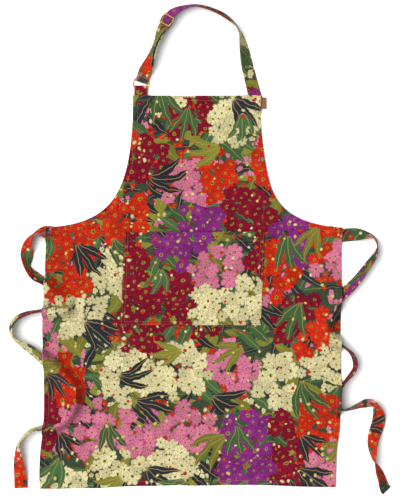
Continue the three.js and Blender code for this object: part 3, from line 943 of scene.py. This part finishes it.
# %% Strap slider
bpy.ops.object.mode_set(mode="EDIT")
bpy.ops.mesh.delete(type="FACE")
bpy.ops.object.mode_set(mode="OBJECT")
for vertex in strap_slider.data.vertices:
    x, y, _ = vertex.co / MM
    vertex.select = abs(x) > SLIDER_HALF - 1 and abs(y) > SLIDER_END - 1
bpy.ops.object.mode_set(mode="EDIT")
bpy.ops.mesh.select_mode(type="VERT")
bpy.ops.mesh.bevel(offset=SLIDER_CORNER, segments=6, affect="VERTICES")
bpy.ops.object.mode_set(mode="OBJECT")
use(strap_slider, "SOLIDIFY", thickness=SLIDER_THICK, offset=0)
use(strap_slider, "BEVEL", width=0.55 * MM, segments=3, limit_method="ANGLE", angle_limit=0.7)
smooth_by_angle(strap_slider, 35)
centre, along, across, face = (row[0] for row in neck_course.at(np.array([slider_at * MM])))
placed = np.column_stack([across, along, face, centre])
seat(strap_slider, Matrix([*placed.tolist(), (0, 0, 0, 1)]))
settle(strap_slider, "strap_slider")
print("slider:", len(strap_slider.data.polygons), "faces")

# %% [markdown]
# ## The body: its cut
# The body is one piece of cloth: a straight skirt, two hollowed armholes and a narrow bib. The cut is
# drawn as half of its outline, from the hem up the side seam, round the armhole and up the bib. The
# laid cloth isn't quite straight. Its middle line leans a little, as it does in the photograph.

# %% Outline of the cut
SKIRT_HALF = 341 * MM
BODY_LENGTH = 900 * MM
HEM_Y = -547 * MM
CLOTH = 1.2 * MM
BIB_MIDDLE = -7 * MM
LEAN = 17 * MM  # from the bib down to the hem
KICK = 5 * MM  # how much further the hem itself goes
KICK_HEIGHT = 130 * MM
# The four points of the armhole's curve: half the width there, and the height above the hem.
ARMHOLE = np.array([(341, 597), (179, 605), (147, 683), (147, 888)]) * MM
SEAM_STEP = 5 * MM


def step_up(value, low, high):
    """A smooth step from 0 at low to 1 at high."""
    t = np.clip((value - low) / (high - low), 0, 1)
    return t * t * (3 - 2 * t)


def middle_line(height):
    """Where the middle of the cloth is, at a height above the hem."""
    lean = BIB_MIDDLE - LEAN * (1 - height / BODY_LENGTH)
    return lean - KICK * (1 - step_up(height, 0, KICK_HEIGHT))


def bezier(points, steps):
    t = np.linspace(0, 1, steps)[:, None]
    a, b, c, d = points
    return a * (1 - t) ** 3 + 3 * b * t * (1 - t) ** 2 + 3 * c * t**2 * (1 - t) + d * t**3


def evenly(points, step):
    """The same line, with its points a step apart."""
    reach = reaches(points)
    at = np.linspace(0, reach[-1], round(reach[-1] / step) + 1)
    return np.column_stack([np.interp(at, reach, column) for column in points.T])


skirt_seam = evenly(np.array([(SKIRT_HALF, 0), ARMHOLE[0]]), SEAM_STEP)
armhole_seam = evenly(bezier(ARMHOLE, 400), SEAM_STEP)
bib_seam = evenly(np.array([ARMHOLE[-1], (ARMHOLE[-1, 0], BODY_LENGTH)]), SEAM_STEP)
half_cut = np.vstack([skirt_seam, armhole_seam[1:], bib_seam[1:]])
cut_area = ((half_cut[1:, 0] + half_cut[:-1, 0]) * np.diff(half_cut[:, 1])).sum()
print(f"cut of {cut_area:.3f} square metres, seam of {reaches(half_cut)[-1] * 1000:.0f} mm")


# %% The cut on the table
def half_at(height):
    """Half the width of the cut, at a height above the hem."""
    return np.interp(height, half_cut[:, 1], half_cut[:, 0])


def on_table(cut):
    """Where a point of the half cut lies, with its height above the hem."""
    return np.column_stack([middle_line(cut[:, 1]) + cut[:, 0], HEM_Y + cut[:, 1]])


right_edge = on_table(half_cut)
left_edge = on_table(half_cut * (-1, 1))
hem_edge = evenly(np.array([left_edge[0], right_edge[0]]), SEAM_STEP)
bib_edge = evenly(np.array([left_edge[-1], right_edge[-1]]), SEAM_STEP)
outline = np.vstack([right_edge, left_edge, hem_edge, bib_edge])
POINTS_AT_ONCE = 2000  # which keeps the table of distances small


def from_edge(points):
    """How far each point is from the nearest edge of the body."""
    batches = np.array_split(points, len(points) // POINTS_AT_ONCE + 1)
    gaps = (batch[:, None] - outline[None] for batch in batches)
    return np.concatenate([np.sqrt((gap**2).sum(axis=2).min(axis=1)) for gap in gaps])


print("points round the outline:", len(outline))

# %% [markdown]
# ## The body: how it lies
# The ties and straps run under the body's edges, and the cloth tents over them. A cloth simulation
# would take minutes and is hard to steer. Laid cloth hardly stretches and is only lifted a little, so
# its height alone is solved here: cloth is a thin plate that resists bending, weighs something, and
# may not sink into what lies under it. The hem is folded, so it weighs more. Each round moves every
# point a little the way that bending and weight push it, lifts it out of the tapes, and keeps it
# under a roof that falls steeply from them. A coarse grid comes first, then two finer ones.


# %% Fields over the table
class Field:
    """Numbers on a square grid over the table, read smoothly anywhere."""

    def __init__(self, values, origin, cell):
        self.values = np.pad(values, 2, mode="edge")
        self.origin = origin
        self.cell = cell

    def __call__(self, x, y):
        across = (x - self.origin[0]) / self.cell
        up = (y - self.origin[1]) / self.cell
        column = np.clip(np.floor(across).astype(int), 0, self.values.shape[1] - 5)
        row = np.clip(np.floor(up).astype(int), 0, self.values.shape[0] - 5)
        total = 0
        for i, wy in enumerate(weights(np.clip(up - row, 0, 1))):
            for j, wx in enumerate(weights(np.clip(across - column, 0, 1))):
                total = total + wy * wx * self.values[row + i + 1, column + j + 1]
        return total


def weights(t):
    """How much each of four neighbours counts, for a smooth line through them."""
    return (
        (-t + 2 * t**2 - t**3) / 2,
        (2 - 5 * t**2 + 3 * t**3) / 2,
        (t + 4 * t**2 - 3 * t**3) / 2,
        (t**3 - t**2) / 2,
    )


CORNER = (-0.42, -0.58)  # of the table beneath the body
SPAN = (0.84, 0.98)


def wander(size, seed):
    """A smooth random field with bumps of about that size."""
    shape = (round(SPAN[1] / size) + 3, round(SPAN[0] / size) + 3)
    return Field(np.random.default_rng(seed).normal(0, 0.5, shape), CORNER, size)


# %% What lies under the body
CLEARANCE = 0.7 * MM
FLOOR_GAP = 0.3 * MM
under_body = [left_tie, right_tie, neck_strap, ring_tab, side_label]


def points_of(piece):
    """Where the points of a piece are."""
    places = np.zeros(len(piece.data.vertices) * 3)
    piece.data.vertices.foreach_get("co", places)
    return places.reshape(-1, 3)


def cells_of(cell):
    """The x and y of each cell of a grid over the table beneath the body."""
    x = np.arange(CORNER[0], CORNER[0] + SPAN[0], cell)
    y = np.arange(CORNER[1], CORNER[1] + SPAN[1], cell)
    return np.meshgrid(x, y)


def in_body(x, y, spare=4 * MM):
    """Which points are in the cut, or no further out than what is spare."""
    height = y - HEM_Y
    beside = abs(x - middle_line(height)) <= half_at(height) + spare
    return beside & (height > -spare) & (height < BODY_LENGTH + spare)


def tops(x, cell):
    """The highest point of a tape in each cell or beside it."""
    height = np.full(x.shape, FLOOR_GAP)
    for piece in under_body:
        places = points_of(piece)
        column = np.rint((places[:, 0] - CORNER[0]) / cell).astype(int)
        row = np.rint((places[:, 1] - CORNER[1]) / cell).astype(int)
        held = (column > 0) & (row > 0) & (column < x.shape[1] - 1) & (row < x.shape[0] - 1)
        for i in (-1, 0, 1):
            for j in (-1, 0, 1):
                cells = (row[held] + i, column[held] + j)
                np.maximum.at(height, cells, places[held, 2] + CLEARANCE)
    return height


# %% Solving the lie of the body
BENDING_LENGTH = 4.5 * MM  # how far the cloth sticks out before it droops; crisp cotton
STEEPEST = 2.2  # how fast it can fall away from what holds it up
RIDGE = 4 * MM  # how far it stays up beside that
HEM_WIDTH = 12 * MM
HEM_LAYERS = 3
ROOF_REACH = 30 * MM
ROUND_SHARE = 1 / 44  # of the push, that a round moves a point by
GRIDS = [(12 * MM, 2500), (6 * MM, 2500), (4 * MM, 1500)]  # cell size and rounds


def roof_over(floor, cell):
    """The highest that the cloth can stand over what holds it up."""
    reach = math.ceil(ROOF_REACH / cell)
    spread = np.pad(floor, reach, constant_values=FLOOR_GAP)
    roof = floor.copy()
    for i in range(-reach, reach + 1):
        for j in range(-reach, reach + 1):
            fall = max(math.hypot(i, j) * cell - RIDGE, 0) * STEEPEST
            part = spread[reach + i :, reach + j :][: floor.shape[0], : floor.shape[1]]
            np.maximum(roof, part - fall, out=roof)
    return roof


def settle_cloth(x, y, cell, start, rounds):
    """The height of the cloth after so many rounds from a start."""
    inside = in_body(x, y)
    floor = np.where(inside, tops(x, cell), FLOOR_GAP)
    roof = roof_over(floor, cell)
    height = np.maximum(start, floor)
    weight = cell**4 / BENDING_LENGTH**3 * np.where(in_body(x, y, -HEM_WIDTH), 1, HEM_LAYERS)
    flat_x = inside[:, :-2] & inside[:, 1:-1] & inside[:, 2:]
    flat_y = inside[:-2] & inside[1:-1] & inside[2:]
    square = inside[:-1, :-1] & inside[1:, :-1] & inside[:-1, 1:] & inside[1:, 1:]
    for _ in range(rounds):
        push = weight.copy()
        bend = flat_x * (height[:, :-2] - 2 * height[:, 1:-1] + height[:, 2:])
        push[:, :-2] += bend
        push[:, 1:-1] -= 2 * bend
        push[:, 2:] += bend
        bend = flat_y * (height[:-2] - 2 * height[1:-1] + height[2:])
        push[:-2] += bend
        push[1:-1] -= 2 * bend
        push[2:] += bend
        twist = 2 * square * (
            height[1:, 1:] - height[1:, :-1] - height[:-1, 1:] + height[:-1, :-1]
        )
        push[1:, 1:] += twist
        push[1:, :-1] -= twist
        push[:-1, 1:] -= twist
        push[:-1, :-1] += twist
        height = np.clip(height - ROUND_SHARE * push, floor, roof)
    return height


lie = Field(np.zeros((8, 8)), CORNER, 0.2)  # flat to begin with
for cell, rounds in GRIDS:
    x, y = cells_of(cell)
    lie = Field(settle_cloth(x, y, cell, lie(x, y), rounds), CORNER, cell)
print(f"body lifted by up to {lie.values.max() * 1000:.1f} mm")

# %% [markdown]
# ## The body: its cloth
# The body is a grid like the tapes, but its rows run from seam to seam, so its edges are clean lines.
# More columns are spent near the sides, where the hem is. A hem is a second layer, so the cloth
# steps up a little near every edge, and dips where the thread pulls it down. A few slow waves keep
# the rest from looking like paper, and the edges stray a few millimetres from their straight cut.
# Solidify gives the thickness downwards, and the back takes the faded side of the print.

# %% Stray edges
# How far each edge strays from its straight cut, in millimetres every 45 mm.
STRAY_STEP = 45 * MM
HEM_STRAY_FROM = -370 * MM
HEM_STRAY_HEIGHT = 90 * MM
LEFT_STRAY = [1, -1.2, -1.5, 2.3, 3, 1.5, -1, -3.6, -6.3, -5.2, -2.4, -1, 0, 0]
RIGHT_STRAY = [0, -1, -2, 1, 0.5, 1, 1.5, 0.5, -1, -1, 0, -1, -2, -1, 0, 2, 4, 4, 2, 0, 0]
HEM_STRAY = [-4.6, -4.6, -3, -2.3, 1, 2.3, 2.3, 3.8, 3, 3.8, 4.6, 4.6, 3.4, 1, 0, 0]
left_stray = Field(np.array(LEFT_STRAY)[:, None] * MM, (0, HEM_Y), STRAY_STEP)
right_stray = Field(np.array(RIGHT_STRAY)[:, None] * MM, (0, HEM_Y), STRAY_STEP)
hem_stray = Field(np.array(HEM_STRAY)[None] * MM, (HEM_STRAY_FROM, 0), STRAY_STEP)
PULL_X = 1.6 * MM
PULL_Y = 1.2 * MM
pulls_x = wander(110 * MM, 23)
pulls_y = wander(110 * MM, 24)


def laid_at(x, y):
    """Where a point of the cut comes to lie, with the cloth's small pulls and its stray edges."""
    height = y - HEM_Y
    side = x - middle_line(height)
    near = abs(side / half_at(height)).clip(0, 1) ** 4
    stray = np.where(side < 0, left_stray(0 * y, y), right_stray(0 * y, y))
    low = 1 - step_up(height, 0, HEM_STRAY_HEIGHT)
    return (
        x + PULL_X * pulls_x(x, y) + near * stray,
        y + PULL_Y * pulls_y(x, y) + low * hem_stray(x, 0 * x),
    )


# %% Height of the body
HEM_RISE = 0.7 * MM
HEM_SEAM = HEM_WIDTH - 1 * MM  # how far in from the edge the hem is sewn
GROOVE = 0.35 * MM
GROOVE_WIDTH = 1.4 * MM
PUCKER = 0.3 * MM
SLACK = 0.9 * MM
RIPPLE = 0.3 * MM
waves = wander(95 * MM, 21)
ripples = wander(34 * MM, 22)


def body_top(x, y, edge=None):
    """The height of the body's printed face."""
    if edge is None:
        edge = from_edge(np.column_stack([x, y]))
    hem = HEM_RISE * (1 - step_up(edge, HEM_SEAM, HEM_WIDTH + 3 * MM))
    groove = GROOVE * np.exp(-(((edge - HEM_SEAM) / GROOVE_WIDTH) ** 2))
    pucker = PUCKER * ripples(x * 3, y * 3) * (1 - step_up(edge, HEM_WIDTH, 2 * HEM_WIDTH))
    slack = SLACK * np.maximum(waves(x, y) + 0.5, 0) + RIPPLE * abs(ripples(x, y))
    return np.maximum(lie(x, y), FLOOR_GAP) + slack + hem - groove + pucker + CLOTH


# %% Body cloth
def two_faced(piece, node):
    """Gives laid cloth its printed face, its faded back and its thickness."""
    piece.data.materials.append(printed_cloth.material)
    piece.data.materials.append(cloth_back.material)
    use(piece, "SOLIDIFY", thickness=CLOTH, offset=-1, material_offset=1)
    smooth_by_angle(piece, 60)
    settle(piece, node)
    print(f"{node}: {len(piece.data.polygons)} faces")


# The grid's lines near an edge, where the hem needs them, and evenly spaced ones further in.
HEM_LINES = np.array([0, 1, 3.5, 7, 10, 11.2, 12.4, 15]) * MM
INNER_COLUMNS = 126
inner_edge = 1 - 20 * MM / SKIRT_HALF
inner = np.linspace(-inner_edge, inner_edge, INNER_COLUMNS)
near_side = HEM_LINES / SKIRT_HALF
column_share = np.concatenate([-1 + near_side, inner, 1 - near_side[::-1]])
hem_rows = np.column_stack([np.full(len(HEM_LINES), SKIRT_HALF), HEM_LINES])
row_cut = np.vstack([hem_rows, half_cut[half_cut[:, 1] > 18 * MM]])

body, share = flat_grid("body_cloth", len(column_share) - 1, len(row_cut) - 1)
across = on_lines(share[:, 0], column_share)
half, height = on_lines(share[:, 1], row_cut).T
mark_cut(body, np.column_stack([across * half, height]) + CUT_FROM["body"])
x = middle_line(height) + across * half
y = HEM_Y + height
edge = from_edge(np.column_stack([x, y]))
edge[abs(across) > 0.9999] = 0  # the outermost columns are the edge itself
lay(body, np.column_stack([*laid_at(x, y), body_top(x, y, edge)]))
two_faced(body, "body")

# %% [markdown]
# ## The patch pocket
# A wide pocket is sewn onto the front along three sides. Its print doesn't line up with the body's,
# and that is what makes it show, so it is cut from another part of the cloth. It lies on the body's
# printed face and stands off it a little at the mouth, where nothing holds it down. Its mouth has a
# deep hem.

# %% Height of the pocket
POCKET_WIDTH = 322 * MM
POCKET_DEPTH = 214 * MM
POCKET_TOP = 39 * MM
POCKET_X = -17 * MM
POCKET_LEAN = 4.4 * MM
POCKET_GAP = 0.4 * MM
POCKET_SEAMS = (2.2 * MM, 8.4 * MM)  # it is sewn on twice, this far in from its edge
POCKET_HEM_RISE = 0.5 * MM
POCKET_GROOVE = 0.3 * MM
POCKET_SLACK = 0.8 * MM
GAPE = 10 * MM
MOUTH_HEM = 22 * MM
MOUTH_RISE = 0.6 * MM
half_pocket = POCKET_WIDTH / 2
pocket_waves = wander(60 * MM, 31)


def pocket_place(side, depth):
    """Where a point of the pocket lies: side from -1 to 1, depth down from the mouth."""
    lean = POCKET_LEAN * (1 - 2 * depth / POCKET_DEPTH)
    return POCKET_X + side * half_pocket + lean, POCKET_TOP - depth


def pocket_top(x, y):
    """The height of the pocket's printed face."""
    depth = POCKET_TOP - y
    side = (x - POCKET_X - POCKET_LEAN * (1 - 2 * depth / POCKET_DEPTH)) / half_pocket
    up = np.clip(1 - depth / POCKET_DEPTH, 0, 1)
    loose = (1 - side**2) ** 2 * up**1.4
    edge = np.minimum((1 - abs(side)) * half_pocket, POCKET_DEPTH - depth)
    hem = POCKET_HEM_RISE * (1 - step_up(edge, 7 * MM, 10 * MM))
    mouth = MOUTH_RISE * (1 - step_up(depth, MOUTH_HEM - 1 * MM, MOUTH_HEM + 2 * MM))
    groove = POCKET_GROOVE * np.exp(-(((edge - POCKET_SEAMS[0]) / (1.2 * MM)) ** 2))
    slack = POCKET_SLACK * abs(pocket_waves(x, y)) * (0.3 + up)
    off_body = POCKET_GAP + CLOTH + GAPE * loose + slack + np.maximum(hem, mouth) - groove
    return body_top(x, y) + off_body


# %% Pocket cloth
# As on the body: lines near the edges and the mouth, and evenly spaced ones further in.
EDGE_LINES = np.array([0, 1, 2.2, 3.6, 7, 9, 11]) * MM
MOUTH_LINES = np.array([0, 1, 4, 9, 15, 20, 21.2, 22.6, 24.5]) * MM
inner = np.linspace(-half_pocket + 15 * MM, half_pocket - 15 * MM, 70)
pocket_columns = np.concatenate([EDGE_LINES - half_pocket, inner, half_pocket - EDGE_LINES[::-1]])
inner = np.linspace(27 * MM, POCKET_DEPTH - 15 * MM, 42)
pocket_rows = np.concatenate([MOUTH_LINES, inner, POCKET_DEPTH - EDGE_LINES[::-1]])

pocket, share = flat_grid("pocket_cloth", len(pocket_columns) - 1, len(pocket_rows) - 1)
column = on_lines(share[:, 0], pocket_columns)
depth = on_lines(share[:, 1], pocket_rows[::-1])
mark_cut(pocket, np.column_stack([column, -depth]) + CUT_FROM["pocket"])
x, y = pocket_place(column / half_pocket, depth)
lay(pocket, np.column_stack([x, y, pocket_top(x, y)]))
two_faced(pocket, "pocket")

# %% [markdown]
# ## Stitches
# Every hem and tape is sewn with a plain lockstitch, about three millimetres a stitch. One stitch is
# modelled: a small sphere drawn out into a short thread with tapered ends, which dive into the cloth.
# Then it is copied along each seam, turned to the seam and to the cloth under it, and each cloth's
# stitches are joined into one piece.

# %% One stitch
STITCH = 3.1 * MM
THREAD = 0.55 * MM
CLEAR_OF_TABLE = 1 * MM  # stitches lower than this would sink into it

bpy.ops.object.select_all(action="DESELECT")
bpy.ops.mesh.primitive_uv_sphere_add(
    segments=6, ring_count=5, radius=0.5, rotation=(0, math.pi / 2, 0)
)
one_stitch = bpy.context.object
one_stitch.scale = (THREAD * 0.8, THREAD, STITCH * 0.86)
bpy.ops.object.transform_apply(location=False, rotation=True, scale=True)
stitch_points = points_of(one_stitch)
stitch_faces = [tuple(polygon.vertices) for polygon in one_stitch.data.polygons]
bpy.data.objects.remove(one_stitch)
print("one stitch:", len(stitch_faces), "faces,", np.ptp(stitch_points, axis=0) * 1000)

# %% Sewing
thread_finish = Finish("sewing_thread")
grain = thread_finish.node("TexCoord").out("Object")
twist = thread_finish.node("TexNoise", None, {"Vector": grain, "Scale": 2400.0, "Detail": 1.0})
shade = thread_finish.node("TexNoise", None, {"Vector": grain, "Scale": 26.0})
colour = thread_finish.mix(shade.rise(0.35, 0.65), paint(150, 104, 78), paint(112, 96, 70))
fuzz = thread_finish.node("Bump", None, {"Strength": 0.4, "Distance": 0.1 * MM, "Height": twist})
thread_finish.set(Base_Color=colour, Roughness=0.6 + 0.2 * twist, Normal=fuzz)
thread_finish.set(Sheen_Weight=0.2)


def sew(name, seams):
    """Copies of the stitch along seams, each a line of points with the cloth's normals."""
    x, y, z = stitch_points.T[:, :, None]
    places = []
    faces = []
    for line, normals in seams:
        reach = reaches(line)
        count = int(reach[-1] / STITCH)
        at = (np.arange(count) + 0.5) * STITCH
        middle, up, heading = (
            np.column_stack([np.interp(at, reach, column) for column in table.T])
            for table in (line, normals, np.gradient(line, reach, axis=0))
        )
        heading = unit(heading)
        side = unit(np.cross(up, heading))
        up = np.cross(heading, side)
        clear = middle[:, 2] > CLEAR_OF_TABLE
        for m, h, s, u in zip(middle[clear], heading[clear], side[clear], up[clear]):
            start = len(places) * len(stitch_points)
            places.append(m + x * h + y * s + z * u)
            faces += [tuple(corner + start for corner in face) for face in stitch_faces]
    mesh = bpy.data.meshes.new(name)
    mesh.from_pydata(np.vstack(places).tolist(), [], faces)
    mesh.materials.append(thread_finish.material)
    piece = bpy.data.objects.new(name, mesh)
    bpy.context.scene.collection.objects.link(piece)
    smooth_by_angle(piece, 80)
    settle(piece, None)
    print(name, len(places), "stitches")
    return piece


# %% Seams on the body
PROUD = 0.05 * MM  # how far a stitch's middle is above the cloth
SEAM_POINT = 1.5 * MM  # from one point of a seam to the next
SEAM_BREAK = 8 * MM
FEWEST_POINTS = 5


def seam_on(top, x, y):
    """A seam over a height, and the way the cloth faces along it."""
    small = 1 * MM
    slope_x = (top(x + small, y) - top(x - small, y)) / (2 * small)
    slope_y = (top(x, y + small) - top(x, y - small)) / (2 * small)
    normals = unit(np.column_stack([-slope_x, -slope_y, np.ones_like(x)]))
    return np.column_stack([x, y, top(x, y) + PROUD]), normals


def inside_of(edge, way):
    """An edge moved in to the hem's seam, where it stays clear of the other edges."""
    heading = unit(np.gradient(edge, axis=0))
    moved = edge + way * np.column_stack([-heading[:, 1], heading[:, 0]]) * HEM_SEAM
    return moved[from_edge(moved) > HEM_SEAM - 1.4 * MM]


body_seams = []
for edge, way in ((right_edge, 1), (left_edge, -1), (hem_edge, 1), (bib_edge, -1)):
    x, y = inside_of(evenly(edge, SEAM_POINT), way).T
    line, normals = seam_on(body_top, x, y)
    line[:, :2] = np.column_stack(laid_at(x, y))
    breaks = np.flatnonzero(np.linalg.norm(np.diff(line, axis=0), axis=1) > SEAM_BREAK) + 1
    runs = zip(np.split(line, breaks), np.split(normals, breaks))
    body_seams += [run for run in runs if len(run[0]) >= FEWEST_POINTS]
body_stitches = sew("body_stitches", body_seams)

# %% Seams on the pocket
pocket_lines = []
for inset in POCKET_SEAMS:
    side = 1 - inset / half_pocket
    down = np.linspace(1 * MM, POCKET_DEPTH - inset, 140)
    level = np.linspace(-side, side, 200)
    pocket_lines += [
        (np.full_like(down, -side), down),
        (level, np.full_like(level, POCKET_DEPTH - inset)),
        (np.full_like(down, side), down),
    ]
side = 1 - 9 * MM / half_pocket
level = np.linspace(-side, side, 200)
pocket_lines.append((level, np.full_like(level, MOUTH_HEM - 1.5 * MM)))
pocket_seams = [seam_on(pocket_top, *pocket_place(*line)) for line in pocket_lines]
pocket_stitches = sew("pocket_stitches", pocket_seams)

# %% Seams on the tapes
SEAM_FROM_EDGE = 2.4 * MM
SEAM_FROM_END = 4 * MM


def tape_seams(line):
    """A seam along each edge, on both faces."""
    reach = np.arange(SEAM_FROM_END, line.length - SEAM_FROM_END, SEAM_POINT)
    centre, _, across, face = line.at(reach)
    seams = []
    for side in (-1, 1):
        for way in (-1, 1):
            off = across * side * (TAPE_WIDTH / 2 - SEAM_FROM_EDGE)
            seams.append((centre + off + way * face * (TAPE_THICK / 2 + PROUD), way * face))
    return seams


tape_lines = [
    (left_tie, left_course),
    (right_tie, right_course),
    (neck_strap, strap_line),
    (ring_tab, tab_line),
]
tape_stitches = [
    sew(piece.name.replace("cloth", "stitches"), tape_seams(line)) for piece, line in tape_lines
]

# %% [markdown]
# ## Brass and label tape
# The ring and the slider are pale polished brass. Brass is a metal, so its colour is in its
# reflection. Fine scratches and a slow change of roughness keep it from looking like plastic. The
# label is a plain woven tape, so it gets ribs across it and nothing else, and its colour is painted
# a little darker in the ribs' hollows, as painted shade.

# %% Brass
brass = Finish("pale_brass")
where = brass.node("TexCoord").out("Object")
cloud = brass.node("TexNoise", None, {"Vector": where, "Scale": 160.0, "Detail": 3.0})
scratch = brass.node(
    "TexNoise", None, {"Vector": brass.vector("MULTIPLY", where, (3000, 300, 300)), "Scale": 1.0}
)
tint = brass.mix(cloud.rise(0.3, 0.7), paint(212, 170, 102), paint(184, 138, 74))
relief = brass.node("Bump", None, {"Strength": 0.12, "Distance": 0.05 * MM, "Height": scratch})
brass.set(Base_Color=tint, Roughness=0.2 + 0.16 * cloud, Normal=relief, Metallic=1.0)
for piece in (strap_ring, strap_slider):
    piece.data.materials.append(brass.material)

# %% Label tape
RIBS_PER_METRE = 1700
LABEL_THREADS_PER_METRE = 1300
label_finish = Finish("label_tape")
cut = label_finish.node("UVMap", {"uv_map": "cut"})
x, y, _ = label_finish.parts(cut)
ribs = (y * (RIBS_PER_METRE * TURN)).sum("SINE")
threads = (x * (LABEL_THREADS_PER_METRE * TURN)).sum("SINE")
mottle = label_finish.node("TexNoise", None, {"Vector": cut, "Scale": 420.0, "Detail": 3.0})
woven = label_finish.mix(mottle.rise(0.3, 0.7), paint(114, 66, 50), paint(138, 84, 62))
# painted shade: the colour is a little darker in the hollows of the ribs
woven = label_finish.scaled(woven, 0.94 + 0.06 * ribs)
relief = label_finish.node(
    "Bump", None, {"Strength": 0.5, "Distance": 0.2 * MM, "Height": ribs * 0.5 + threads * 0.3}
)
label_finish.set(Base_Color=woven, Roughness=0.8 + 0.1 * mottle, Normal=relief)
side_label.data.materials.append(label_finish.material)
print("finishes made: pale_brass, label_tape")

# %% [markdown]
# ## What is cloth, and how big it is
# The cloth pieces are the body, the pocket, the label and the tapes. The last cell prints the
# size of the CAD box and of the finished apron's box.

# %% Sheets
print("sheets declared: body, pocket, label and", len(tape_lines), "tapes")

# %% Sizes and finish
VISUAL_BOX = [list(corner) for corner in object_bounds()]
for side, axis in enumerate("xyz"):
    cad = CAD_BOX[1][side] - CAD_BOX[0][side]
    shown = VISUAL_BOX[1][side] - VISUAL_BOX[0][side]
    print(f"{axis}: CAD {cad * 1000:.1f} mm, shown {shown * 1000:.1f} mm")
